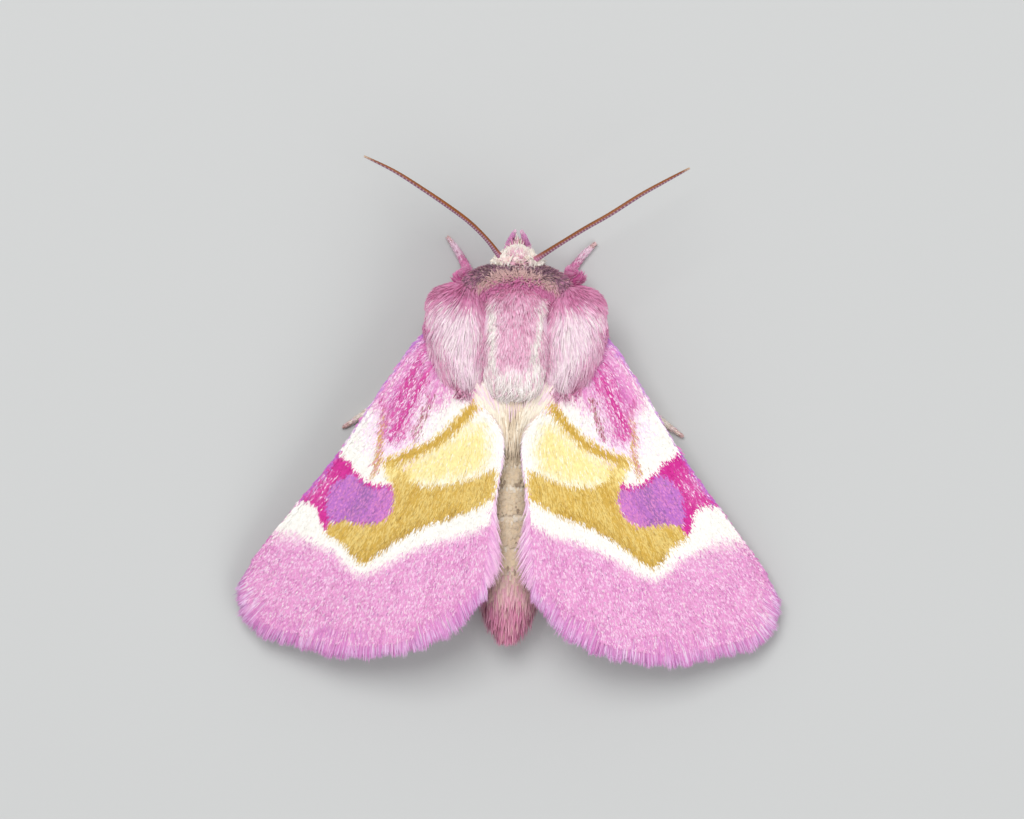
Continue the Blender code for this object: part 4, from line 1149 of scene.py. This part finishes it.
    def tegula_hair(self, hand: str, side: int) -> Tufts:
        """The long hair of a shoulder cover.

        Args:
            hand: left or right.
            side: 1 for the left one and -1 for the right one.

        Returns:
            The hair.
        """
        rng = np.random.default_rng(70 + side)
        tufts = Tufts(f"tegula_{hand}_hair", (0.0, 0.25, 0.6, 1.0), SHORT_WIDTHS)
        tried, kept = self.tegula_roots
        at = self.tegula.scatter(tried, rng, -0.75)
        at = at[at[:, 0] > 0.72 + 0.1 * rng.random(len(at))]
        at = at[at[:, 1] < -1.35 + 0.3 * rng.random(len(at)) ** 2][:kept]
        a, b, c = ((at - self.tegula.centre) / self.tegula.half).T
        count = len(a)
        wave = patchy(a * 4 + 9, b * 3 + 9, 31) - 0.5 + 0.6 * (patchy(a * 11 + 20, b * 6 + 20, 35) - 0.5)
        aside = 0.75 * (a + 0.3) * (1 - b) * ramp(-b, -0.4, 0.5) - 0.12 * ramp(b, 0.1, 1.0) * a + 0.5 * wave
        lean = np.column_stack((aside + rng.normal(0, 0.09, count), np.ones(count), -0.1 * b))
        length = (0.45 + 0.62 * ramp(b, -0.9, 0.1)) * rng.uniform(0.65, 1.3, count)
        rise = rng.uniform(0.08, 0.28, count) + 0.16 * ramp(np.abs(a), 0.6, 1.0) + 0.1 * ramp(b, 0.3, 0.9)
        rise *= (0.6 + 0.8 * patchy(a * 8 + 30, b * 5 + 30, 36)) * (1 - 0.45 * ramp(-b, -0.1, 0.5))
        free = np.maximum(ramp(b, 0.1, 0.75), 0.6 * ramp(a, 0.45, 0.95))
        spine, normal = self.tegula.hair(at, lean, length, rise, tufts.steps, 0.05, free)
        paint = Paint(count, Shade.TEGULA, rng)
        pale = bell(a - 0.05 + 0.2 * b, 0.62) * ramp(b, -0.8, -0.3) * ramp(c, -0.1, 0.3)
        paint.lay(Shade.ROSE, (1 - pale) * ramp(patchy(a * 9 + 9, b * 2 + 9, 32), 0.2, 0.8) * 0.6)
        paint.lay(Shade.ROSE_PALE, 1.25 * pale, 0.45)
        paint.lay(Shade.WHITE, pale * 0.55, 0.7)
        paint.lay(Shade.ROSE, ramp(-a, 0.45, 0.85) * ramp(b, -0.9, -0.3) * 0.85)
        paint.lay(Shade.ROSE_DARK, ramp(-b, 0.6, 0.98) * 0.35)
        paint.lay(Shade.ROSE, ramp(b, 0.45, 0.8) * 0.35, 0.5)
        # Painted light: the steep outer side is lightened to offset the shade that falls on it
        paint.lay(Shade.ROSE_PALE, ramp(a, 0.5, 0.9) * 0.35, 0.6)
        paint.vary(0.1)
        width, tip = rng.uniform(0.026, 0.05, count), paint.toward(Shade.ROSE_PALE, 0.2 + 0.45 * pale)
        tufts.add(self.tapered(spine), normal, width, paint.colour * 0.88, tip, self.patch_of(at))
        return tufts.on_side(side)

    def disc_hair(self) -> Tufts:
        """The coat of the back between the shoulder covers, and the pale crest behind it.

        Returns:
            The hair.
        """
        rng = np.random.default_rng(80)
        tufts = Tufts("back_hair", (0.0, 0.3, 0.65, 1.0), SHORT_WIDTHS)
        tried, kept = self.disc_roots
        at = self.disc.scatter(tried, rng, 0.15)
        a, b = at[:, 0] / 0.82, (at[:, 1] + 2.75) / 1.85
        among = np.flatnonzero(np.abs(a) < 1.02 - 0.14 * ramp(-b, 0.1, 0.9) + 0.3 * ramp(b, -0.4, 0.2))[:kept]
        at, a, b, count = at[among], a[among], b[among], len(among)
        wave, crest = patchy(a * 3 + 9, b * 5 + 9, 33) - 0.5, ramp(b, 0.4, 0.7)
        lean = np.column_stack((0.12 * a + 0.5 * wave - 0.5 * a * ramp(b, 0.4, 0.9), np.ones(count), np.zeros(count)))
        length = rng.uniform(0.35, 0.65, count) + 0.35 * ramp(b, 0.2, 0.9)
        lean[:, 0] += rng.normal(0, 0.12 + 0.1 * crest) + crest * 1.2 * (patchy(a * 4 + 5, b * 5 + 5, 37) - 0.5)
        rise = rng.uniform(0.08, 0.2, count) * (0.5 + patchy(a * 8 + 5, b * 9 + 5, 38))
        rise += 0.3 * crest * rng.random(count)
        spine, normal = self.disc.hair(at, lean, length, rise, tufts.steps, 0.05, 0.7 * crest)
        paint = Paint(count, Shade.TEGULA, rng)
        edge = bell(np.abs(a) - 0.84 + 0.1 * wave, 0.17) * ramp(b, -0.9, -0.5)
        paint.lay(Shade.ROSE, 0.75 * ramp(patchy(a * 3 + 9, b * 4 + 9, 34), 0.3, 0.8) * ramp(-b, -0.5, 0.2), 0.5)
        paint.lay(Shade.ROSE_PALE, ramp(b, -1.0, -0.6) * 0.5, 0.5)
        paint.lay(Shade.WHITE, edge * 0.85, 0.5)
        paint.lay(Shade.CREST, ramp(b, 0.3, 0.6) * 0.95)
        paint.lay(Shade.WHITE, ramp(b, 0.35, 0.6) * 0.5, 0.6)
        paint.lay(Shade.TEGULA, ramp(b, 0.35, 0.6) * 0.15, 0.6)
        paint.lay(Shade.ROSE, ramp(-b, 0.85, 1.0) * 0.5)
        paint.vary(0.1)
        width, tip = rng.uniform(0.03, 0.05, count), paint.toward(Shade.WHITE, 0.15 + 0.3 * ramp(b, 0.2, 0.7))
        tufts.add(spine, normal, width, paint.colour, tip, self.patch_of(at))
        return tufts

    def collar_hair(self) -> Tufts:
        """The short standing scales of the collar, in bands of mauve, sand and rose.

        Returns:
            The scales.
        """
        rng = np.random.default_rng(90)
        tufts = Tufts("collar_hair", SHORT_STEPS, SHORT_WIDTHS)
        tried, kept = self.collar_roots
        at = self.collar.scatter(tried, rng, -0.9)
        at = at[at[:, 1] < -4.12][:kept]
        (x, y, z), count = at.T, len(at)
        a, b, over = x / 1.9, (y + 4.5) / 0.86, ramp(z, 2.3, 2.9)
        back = np.maximum(1.6 * (b + 0.25), -0.5) + 1.1 * ramp(np.abs(a), 0.35, 0.75)
        lean = np.column_stack((0.6 * a, back * over + 0.7 * (1 - over), 0.7 * over - 0.45))
        lean += rng.normal(0, 0.26, lean.shape)
        length = rng.uniform(0.15, 0.26, count) + 0.35 * ramp(b, -0.1, 0.6) + 0.1 * (1 - over)
        spine, normal = self.collar.hair(at, lean, length, rng.uniform(0.08, 0.19, count), tufts.steps)
        paint, ahead = Paint(count, Shade.ROSE, rng), 0.62 * a**2 - y
        paint.lay(Shade.TEGULA, 0.35 + ramp(-ahead, -4.6, -4.3) * 0.4, 0.5)
        paint.lay(Shade.ROSE_DARK, ramp(ahead, 4.5, 4.75) * 0.35)
        paint.lay(Shade.SAND, ramp(ahead, 4.7, 4.86) * ramp(-np.abs(a), -0.84, -0.64))
        paint.lay(Shade.MAUVE, ramp(ahead, 4.98, 5.1) * 0.92)
        paint.lay(Shade.MAUVE, ramp(np.abs(a), 0.62, 0.85) * ramp(ahead, 4.8, 5.05) * 0.7)
        paint.lay(Shade.TEGULA, ramp(np.abs(a), 0.5, 0.9) * 0.4)
        paint.lay(Shade.SAND, ramp(ahead, 4.8, 5.0) * 0.14, 0.8)
        paint.lay(Shade.ROSE, ramp(-z, -2.75, -2.3) * 0.7)
        paint.lay(Shade.ROSE_PALE, ramp(-z, -2.5, -2.0) * 0.5)
        paint.vary(0.12)
        width, tip = rng.uniform(0.028, 0.044, count), paint.toward(Shade.ROSE_PALE, 0.15)
        tufts.add(spine, normal, width, paint.colour * 0.85, tip, self.patch_of(at))
        return tufts

    def head_hair(self) -> Tufts:
        """The cream tuft on the crown and the smooth scales of face and cheeks.

        Returns:
            The hair.
        """
        rng = np.random.default_rng(100)
        tufts = Tufts("head_hair", SHORT_STEPS, SHORT_WIDTHS)
        all_over, on_top, on_face = self.head_roots
        at = np.concatenate((self.head.scatter(all_over, rng, -0.85), self.head.scatter(on_top, rng, 0.45)))
        a, b, c = ((at - self.head.centre) / self.head.half).T
        count, crown, rear = len(a), ramp(c, 0.15, 0.5), ramp(b, -0.3, 0.7)
        lean = np.column_stack((1.1 * a * (1 - 0.7 * rear), -0.8 + 2.0 * rear, -0.5 * (1 - crown) + 0.3 * crown))
        lean += rng.normal(0, 0.24, lean.shape)
        grown = (0.24 + 0.26 * ramp(b, -0.1, 0.5)) * crown * (1 - 0.6 * ramp(-b, 0.1, 0.8))
        length = (0.16 + grown) * rng.uniform(0.7, 1.2, count)
        rise = (0.05 + (0.15 + 0.16 * ramp(b, -0.2, 0.4)) * crown) * rng.uniform(0.7, 1.2, count)
        spine, normal = self.head.hair(at, lean, length, rise, tufts.steps, 0.03, 0.8 * crown)
        paint = Paint(count, Shade.CREAM, rng)
        paint.lay(Shade.WHITE, 0.6, 0.5)
        paint.lay(Shade.TEGULA, bell(a, 0.4) * bell(b - 0.1, 0.45) * 0.5, 0.4)
        paint.lay(Shade.PALP, (1 - crown) * 0.5, 0.5)
        paint.vary(0.06)
        width = rng.uniform(0.03, 0.046, count)
        tufts.add(self.narrowed(spine), normal, width, paint.colour * 0.95, paint.colour, self.patch_of(at))
        at = self.face.scatter(on_face, rng, -0.98)
        at = at[at[:, 2] < 2.5]
        (x, _, z), count = at.T, len(at)
        beard = bell(x, 0.2) * ramp(z, 1.7, 2.0)
        lean = (0.0, 0.1, -1.0) + rng.normal(0, 0.2, (count, 3))
        length, rise = rng.uniform(0.14, 0.24, count) * (1 + 1.4 * beard), (0.08 + 0.6 * beard) * rng.random(count)
        spine, normal = self.face.hair(at, lean, length, rise, tufts.steps, 0.03, 0.8 * beard)
        paint = Paint(count, Shade.TEGULA, rng)
        paint.lay(Shade.CREAM, ramp(z, 1.7, 2.4) * 0.6)
        width = rng.uniform(0.03, 0.046, count)
        tufts.add(spine, normal, width, paint.colour * 0.92, paint.colour, self.patch_of(at))
        return tufts

    def breast_hair(self) -> Tufts:
        """The pale hair of the sides and the underside of the thorax and round the wings' roots.

        Returns:
            The hair.
        """
        rng = np.random.default_rng(110)
        tufts = Tufts("breast_hair")
        on_thorax, on_shoulder = self.breast_roots
        at = self.thorax.scatter(on_thorax, rng, -1.0)
        at = at[at[:, 2] < 3.1]
        count = len(at)
        lean = (0.0, 1.0, -0.35) + rng.normal(0, 0.12, (count, 3))
        length, rise = rng.uniform(0.4, 0.7, count), rng.uniform(0.08, 0.2, count)
        spine, normal = self.thorax.hair(at, lean, length, rise, tufts.steps)
        paint = Paint(count, Shade.ROSE_PALE, rng)
        paint.lay(Shade.CREAM, ramp(-at[:, 2], -1.8, -1.3) * 0.7)
        paint.lay(Shade.ROSE, 0.3)
        paint.vary(0.1)
        width = rng.uniform(0.035, 0.055, count)
        tufts.add(spine, normal, width, paint.colour * 0.92, paint.colour, self.patch_of(at))
        for side in (1, -1):
            at = self.shoulder.scatter(on_shoulder, rng, -0.98)
            count, turn = len(at), (side, 1.0, 1.0)
            lean = (0.9, 0.75, -0.2) + rng.normal(0, 0.15, (count, 3))
            length, rise = rng.uniform(0.35, 0.6, count), rng.uniform(0.08, 0.2, count)
            spine, normal = self.shoulder.hair(at, lean, length, rise, tufts.steps)
            paint = Paint(count, Shade.ROSE, rng)
            paint.lay(Shade.ROSE_DARK, ramp(-at[:, 1], 2.8, 3.3) * 0.4)
            paint.lay(Shade.PINK, 0.35)
            width, tip = rng.uniform(0.04, 0.055, count), paint.toward(Shade.ROSE_PALE, 0.3)
            tufts.add(spine * turn, normal * turn, width, paint.colour * 0.85, tip, self.patch_of(at * turn))
        return tufts

    def abdomen_coat(self) -> Tufts:
        """The flat scales of the abdomen, the long hair at its root and the tuft at its end.

        Returns:
            The scales and the hair.
        """
        rng = np.random.default_rng(120)
        tufts = Tufts("abdomen_hair", widths=(1.0, 0.9))
        rings, tail = self.abdomen_roots
        share = np.concatenate((rng.uniform(0.1, 0.99, rings), rng.uniform(0.76, 1.0, tail)))
        count = len(share)
        angle = rng.uniform(-math.pi, math.pi, count)
        at, normal, ahead = self.abdomen.surface(share, angle)
        inset = ramp(share, 0.9, 0.95)[:, None] * rng.random((count, 1))
        at = at + (self.abdomen.frame(share)[0] - at) * inset
        y, below = at[:, 1], -normal[:, 2]
        end, front, joint = ramp(y, 5.2, 7.0), ramp(-y, -1.2, -0.2), 1 - self.ledge(y)
        length = 0.2 + 0.5 * end * (1 - 0.35 * ramp(y, 7.3, 7.9)) + 0.45 * front
        length *= 1 + (0.2 + 0.25 * end) * rng.uniform(-1, 1, count)
        stand = 0.015 + 0.1 * end + 0.1 * front
        swell = 0.068 * (self.ledge(y) ** 0.6 - 0.5) + 0.008
        straight = ramp(y, 6.6, 7.4)[:, None]
        ahead = ahead * (1 - straight) + straight * (0.0, 1.0, -0.05)
        taper = unit(ahead - normal * (0.12 * (1 - straight)) + rng.normal(0, 0.07, normal.shape))
        spine = [
            at + taper * (length * step)[:, None] + normal * (swell + stand * step + 0.012)[:, None]
            for step in tufts.steps
        ]
        paint = Paint(count, Shade.TAN, rng)
        paint.lay(Shade.BEIGE, 0.4, 0.3)
        paint.lay(Shade.CREAM, ramp(joint, 0.72, 0.95) * 0.75 * (1 - end))
        paint.lay(Shade.TAN_DARK, ramp(-joint, -0.5, 0.0) * 0.16 * (1 - end))
        paint.lay(Shade.CREAM, ramp(below, 0.0, 0.6) * 0.6)
        paint.lay(Shade.ROSE_PALE, ramp(below, -0.4, 0.5) * 0.3)
        paint.lay(Shade.TAN_DARK, ramp(y, 5.2, 6.0) * 0.35, 0.3)
        paint.lay(Shade.TEGULA, end * (0.45 + 0.5 * patchy(y * 3, angle * 2 + 20, 41)), 0.3)
        paint.lay(Shade.ROSE, ramp(y, 5.9, 7.0) * 0.65, 0.5)
        paint.vary(0.05)
        width, tip = rng.uniform(0.08, 0.11, count) * (1 - 0.45 * end), paint.toward(Shade.CREAM, 0.18)
        patch = np.column_stack((angle / FULL_TURN + 0.5, 0.35 + 0.64 * share))
        tufts.add(np.stack(spine, 1), normal, width, paint.colour * 0.98, tip, patch)
        self.root_hair(tufts, rng)
        return tufts

    def root_hair(self, tufts: Tufts, rng: Random) -> None:
        """Adds the long cream hair that lies in a V from the wings' roots over the abdomen.

        Args:
            tufts: The coat that it joins.
            rng: The random numbers.
        """
        count = self.vee_roots
        side = rng.choice((-1.0, 1.0), count)
        x = 1.5 * rng.uniform(0.0, 1.0, count) ** 1.3
        y = rng.uniform(-1.9, 0.5, count) - 0.35 * x
        root = np.column_stack((x * side, y, 3.42 - 0.1 * x - 0.24 * ramp(y, -1.4, 0.8)))
        lean = unit(np.column_stack((-0.42 * side * x, np.ones(count), np.full(count, -0.14))))
        lean += rng.normal(0, 0.07, lean.shape)
        long = rng.uniform(0.7, 1.35, count)[:, None]
        spine = [root + lean * (long * k) + (-0.2 * (k * long) ** 2 + 0.1 * k) * (0, 0, 1) for k in tufts.steps]
        paint = Paint(count, Shade.CREAM, rng)
        paint.lay(Shade.BEIGE, ramp(-x, -0.75, -0.1) * 0.75)
        paint.lay(Shade.ROSE_PALE, ramp(-y, 0.3, 1.3) * 0.5)
        paint.lay(Shade.TAN_DARK, ramp(-x, -0.4, 0.0) * 0.12, 1.0)
        paint.vary(0.08)
        width = rng.uniform(0.03, 0.048, count)
        tufts.add(np.stack(spine, 1), (0.0, -0.1, 1.0), width, paint.colour * 0.96, paint.colour, self.patch_of(root))

    def build(self) -> None:
        """Makes the body's skin and its hair."""
        nodes = ("head", "collar", "thorax", "tegula_left", "tegula_right", "abdomen", "tail_tuft")
        dress(self.skin(), SKIN, "pale_scales", *nodes)
        for hand, side in HANDS:
            dress(self.tegula_hair(hand, side).build(), HAIR, "pink_scales")
        for coat, slot in (
            (self.disc_hair, "pink_scales"), (self.collar_hair, "mauve_scales"), (self.head_hair, "cream_scales"),
            (self.breast_hair, "pale_scales"), (self.abdomen_coat, "tan_scales"),
        ):
            dress(coat().build(), HAIR, slot)


# Head parts and limbs


@dataclass(frozen=True)
class Eyes:
    """The two large compound eyes."""

    centre: tuple[float, float, float] = (0.62, -5.2, 2.3)
    radius: float = 0.46

    def build(self) -> None:
        """Makes both eyes, with dark spots under the facets."""
        for hand, side in HANDS:
            place = (self.centre[0] * side, *self.centre[1:])
            piece = ball(f"eye_{hand}_globe", Dome(place, (self.radius * 0.9, self.radius, self.radius)), 72, 48)
            _, y, z = ((coordinates(piece) - place) / self.radius).T
            paint = Paint(len(y), Shade.BROWN_DARK)
            paint.lay(Shade.TAN_DARK, ramp(z, -0.2, 0.9) * 0.35)
            tint(piece, paint.colour * 0.8 * (0.6 + 0.8 * patchy(y * 3 + 9, z * 3 + 9, 51))[:, None])
            dress(piece, EYE, "eye_gloss", f"eye_{hand}")


@dataclass(frozen=True)
class Feelers:
    """The two long, thin, ringed antennae."""

    rings: int = 62
    radii: tuple[float, ...] = (0.126, 0.1092, 0.084, 0.084, 0.08232, 0.0756, 0.063, 0.0378)
    left: Points = (
        (0.5, -5.55, 3.05), (0.67, -5.68, 3.25), (1.12, -6.22, 3.5), (1.75, -6.81, 3.68), (2.48, -7.33, 3.78),
        (3.4, -7.92, 3.8), (4.5, -8.58, 3.7), (5.62, -9.1, 3.5),
    )
    right: Points = (
        (-0.5, -5.5, 3.05), (-0.73, -5.62, 3.25), (-1.51, -6.14, 3.5), (-2.4, -6.71, 3.68), (-3.28, -7.24, 3.78),
        (-4.34, -7.95, 3.8), (-5.23, -8.48, 3.7), (-6.1, -8.98, 3.5),
    )

    def build(self) -> None:
        """Makes both antennae: brown in front, mauve with paler rings behind, rose at the root."""
        for hand, path in (("left", self.left), ("right", self.right)):
            tube = Tube(path, self.radii)
            piece, share = limb(f"antenna_{hand}_rings", tube, 16, self.rings * 4)
            centre, ring = tube.frame(share)[0], (share * self.rings) % 1.0
            out = coordinates(piece) - centre
            reshape(piece, centre + out * (1 + 0.06 * np.sin(ring * math.pi) - 0.03)[:, None])
            back = ramp(out[:, 1] / np.maximum(np.linalg.norm(out, axis=1), 1e-9), 0.05, 0.3)
            paint = Paint(len(share), Shade.BROWN)
            paint.lay(Shade.BROWN_DARK, ramp(ring, 0.7, 1.0) * 0.6)
            paint.lay(Shade.MAUVE, back)
            paint.lay(Shade.CREST, back * ramp(-np.abs(ring - 0.5), -0.3, -0.1) * 0.4)
            paint.lay(Shade.TEGULA, ramp(-share, -0.22, -0.06) * 0.7)
            paint.lay(Shade.TAN, ramp(share, 0.93, 1.0) * 0.5)
            tint(piece, paint.colour)
            dress(piece, HORN, "antenna_brown", f"antenna_{hand}")


@dataclass(frozen=True)
class Coated:
    """A limb with a smooth core and a close coat of scales that point to its tip."""

    node: str
    tube: Tube
    shades: tuple[Shade, Shade, Shade]
    length: float
    stand: float
    seed: int
    tufted: tuple[float, float, float] = (0.0, 0.1, 0.0)
    spurs: tuple[tuple[float, float], ...] = ()
    count: int = 1500

    def colours(self, share: Array, rng: Random | None) -> Paint:
        """The colours along the limb, from its root to its tip."""
        paint = Paint(len(share), self.shades[0], rng)
        paint.lay(self.shades[1], ramp(share, 0.72, 0.86))
        paint.lay(self.shades[2], ramp(share, 0.88, 0.98))
        paint.lay(Shade.ROSE_PALE, ramp(np.sin(share * 70), 0.5, 1.0) * ramp(share, 0.6, 0.7) * 0.5)
        paint.vary(0.2)
        return paint

    def build(self) -> None:
        """Makes the core, then its scales and its spurs."""
        rng, count = np.random.default_rng(self.seed), self.count
        core, share = limb(f"{self.node}_core", self.tube, 18, 90)
        tint(core, self.colours(share, None).colour * 0.85)
        dress(core, SKIN, "leg_scales", self.node)
        tufts = Tufts(f"{self.node}_core_scales", SHORT_STEPS, (1.0, 0.8))
        share, angle = rng.uniform(0.02, 0.975, count), rng.uniform(-math.pi, math.pi, count)
        at, normal, ahead = self.tube.surface(share, angle)
        middle, wide, more = self.tufted
        bush, foot = bell(share - middle, wide) * more, ramp(share, 0.7, 0.95)
        long = self.length * rng.uniform(0.75, 1.25, count) * (1 + 1.4 * bush) * (1 - 0.45 * foot)
        stand = self.stand * rng.uniform(0.6, 1.3, count) * (1 + 2.4 * bush) * (1 - 0.5 * foot)
        spine = np.stack(
            [at + ahead * (long * k)[:, None] + normal * (stand * k**0.8 - 0.01)[:, None] for k in tufts.steps], 1
        )
        spine[:, :, 2] = np.maximum(spine[:, :, 2], FLOOR_GAP)
        paint = self.colours(share, rng)
        tip = paint.toward(Shade.ROSE_PALE, rng.uniform(0.1, 0.5, count))
        patch = np.column_stack((angle / FULL_TURN + 0.5, share))
        tufts.add(spine, normal, rng.uniform(0.034, 0.05, count), paint.colour * 0.9, tip, patch)
        for place, reach in self.spurs:
            self.spur(tufts, place, reach)
        dress(tufts.build(), HAIR, "leg_scales")

    def spur(self, tufts: Tufts, place: float, reach: float) -> None:
        """Adds a pair of spurs.

        Args:
            tufts: The coat that they join.
            place: Their share of the limb's length.
            reach: How long they are.
        """
        for turn in (-1, 1):
            root, _, way = self.tube.surface(np.array([place]), np.array([turn * 0.2 + (turn < 0) * math.pi]))
            lean = unit(way * 0.9 + self.tube.frame(np.array([place]))[2] * turn * 0.5)
            line = np.stack([root + lean * reach * step for step in tufts.steps], 1)
            line[:, :, 2] = np.maximum(line[:, :, 2], SPUR_GAP)
            shade = Shade.CREAM.linear[None]
            tufts.add(line, (0.0, 0.0, 1.0), np.array([0.11]), shade * 0.8, shade, np.array([[0.5, place]]))


LEG_CORE = (0.62, 0.62, 0.6, 0.5, 0.5, 0.48, 0.4, 0.36, 0.3)
FORELEG_LEFT = (
    (0.65, -3.3, 1.6, 0.38), (0.8, -3.9, 1.0, 0.36), (1.5, -4.4, 1.15, 0.34), (2.15, -4.78, 1.4, 0.33),
    (2.0, -5.0, 1.05, 0.3), (1.85, -5.15, 0.65, 0.27), (1.95, -5.45, 0.3, 0.25), (2.25, -5.95, 0.22, 0.25),
    (2.6, -6.4, 0.16, 0.14),
)
FORELEG_RIGHT = (
    (0.65, -3.3, 1.6, 0.38), (0.8, -3.9, 1.0, 0.36), (1.5, -4.45, 1.15, 0.34), (2.25, -4.95, 1.4, 0.33),
    (2.05, -5.1, 1.05, 0.3), (1.9, -5.2, 0.65, 0.27), (2.1, -5.45, 0.3, 0.25), (2.45, -5.9, 0.22, 0.25),
    (2.85, -6.3, 0.16, 0.14),
)
MIDLEG = (
    (0.75, -2.5, 1.6, 0.38), (0.95, -2.5, 1.0, 0.36), (2.0, -2.35, 1.35, 0.34), (3.05, -2.1, 1.55, 0.32),
    (3.6, -1.5, 1.1, 0.27), (4.3, -0.75, 0.45, 0.26), (4.8, -0.35, 0.22, 0.25), (5.5, 0.2, 0.22, 0.25),
    (6.25, 0.7, 0.16, 0.14),
)
HINDLEG = (
    (0.7, -1.7, 1.6, 0.36), (0.95, -1.35, 1.0, 0.36), (1.6, -0.8, 1.0, 0.34), (2.3, -0.2, 1.15, 0.32),
    (2.65, 0.9, 0.8, 0.28), (3.0, 2.1, 0.45, 0.27), (3.25, 2.8, 0.22, 0.25), (3.7, 3.9, 0.22, 0.25),
    (4.1, 5.0, 0.16, 0.14),
)
ROSY, PALE = (Shade.ROSE, Shade.ROSE_PALE, Shade.SAND), (Shade.ROSE_PALE, Shade.CREAM, Shade.SAND)
LEGS = (
    ("foreleg", (FORELEG_LEFT, FORELEG_RIGHT), ROSY, (0.38, 0.08, 0.0), ()),
    ("midleg", (MIDLEG, MIDLEG), PALE, (0.36, 0.1, 0.4), ((0.62, 0.6),)),
    ("hindleg", (HINDLEG, HINDLEG), PALE, (0.4, 0.15, 0.4), ((0.5, 0.55), (0.62, 0.65))),
)
PALP_PATH = (
    (0.28, -5.3, 1.95), (0.34, -5.64, 1.76), (0.35, -5.96, 1.82), (0.3, -6.18, 2.04), (0.22, -6.37, 2.28),
    (0.13, -6.56, 2.54),
)
PALP_RADII = (0.1, 0.11, 0.09, 0.07, 0.06, 0.045)


def leg_tube(stations: Points, side: int) -> Tube:
    """The visible leg inside its solid, standing on the floor; each station ends with the solid's radius."""
    path = tuple((x * side, y, z if z > 0.5 else z * 0.5 + 0.03) for x, y, z, _ in stations)
    return Tube(path, tuple(radius * share for (*_, radius), share in zip(stations, LEG_CORE)))


def build_limbs() -> None:
    """Makes the six legs and the two palps."""
    for number, (kind, legs, shades, tufted, spurs) in enumerate(LEGS):
        for (hand, side), stations in zip(HANDS, legs):
            tube, seed = leg_tube(stations, side), 200 + 2 * number + (side > 0)
            Coated(f"{kind}_{hand}", tube, shades, 0.19, 0.075, seed, tufted, spurs).build()
    for hand, side in HANDS:
        tube = Tube(tuple((x * side, y, z) for x, y, z in PALP_PATH), PALP_RADII)
        Coated(f"palp_{hand}", tube, (Shade.PALP, Shade.PALP, Shade.ROSE_PALE), 0.17, 0.045, 220 + side).build()


# Studio


@dataclass(frozen=True)
class Studio:
    """The pale floor, the soft lights and the camera straight above."""

    camera: tuple[float, float, float] = (0.000058, -0.000143, 0.208)
    lens: float = 200.2
    turn: float = 181.52

    def floor(self) -> None:
        """Lays the plain floor."""
        bpy.ops.mesh.primitive_plane_add(size=1.2)
        ground = named("floor")
        made = bpy.data.materials.new("Plain floor")
        made.use_nodes = True
        preset(made.node_tree.nodes["Principled BSDF"], {"Base Color": (0.56, 0.565, 0.56, 1.0), "Roughness": 0.8})
        ground.data.materials.append(made)

    def light(self, name: str, place: tuple[float, float, float], size: float, power: float) -> None:
        """Hangs one square soft light that faces the moth."""
        bpy.ops.object.light_add(type="AREA", location=place)
        lamp = named(name)
        lamp.data.size, lamp.data.energy = size, power
        x, y, z = place
        lamp.rotation_euler = (math.acos(z / math.sqrt(x * x + y * y + z * z)), 0.0, math.atan2(y, x) + math.pi / 2)

    def build(self) -> None:
        """Sets up the floor, the lights and the camera."""
        self.floor()
        self.light("key", (0.05, -0.12, 0.26), 0.16, 0.5)
        self.light("fill", (-0.14, 0.16, 0.2), 0.2, 0.24)
        scene, world = bpy.context.scene, bpy.data.worlds.new("Studio")
        world.use_nodes = True
        preset(world.node_tree.nodes["Background"], {"Color": (0.97, 0.985, 1.0, 1.0), "Strength": 0.52})
        scene.world = world
        scene.view_settings.view_transform = "Standard"
        bpy.ops.object.camera_add(location=self.camera)
        camera = bpy.context.active_object
        camera.rotation_euler = (0.0, 0.0, math.radians(self.turn))
        camera.data.sensor_width, camera.data.lens = 36.0, self.lens
        camera.data.clip_start, camera.data.clip_end = 0.005, 5.0
        scene.camera = camera


def main() -> None:
    """Builds the moth piece by piece; the face count of each piece goes to the log."""
    logging.basicConfig(level=logging.INFO, format="%(message)s")
    Wing("forewing", FOREWING, "wing_scales", 31000, 7000, 7000, 1, layers=2).build()
    Wing("hindwing", HINDWING, "hindwing_scales", 4500, 4500, 1700, 101, -0.02).build()
    Body().build()
    Eyes().build()
    Feelers().build()
    build_limbs()
    Studio().build()


if __name__ == "__main__":
    main()
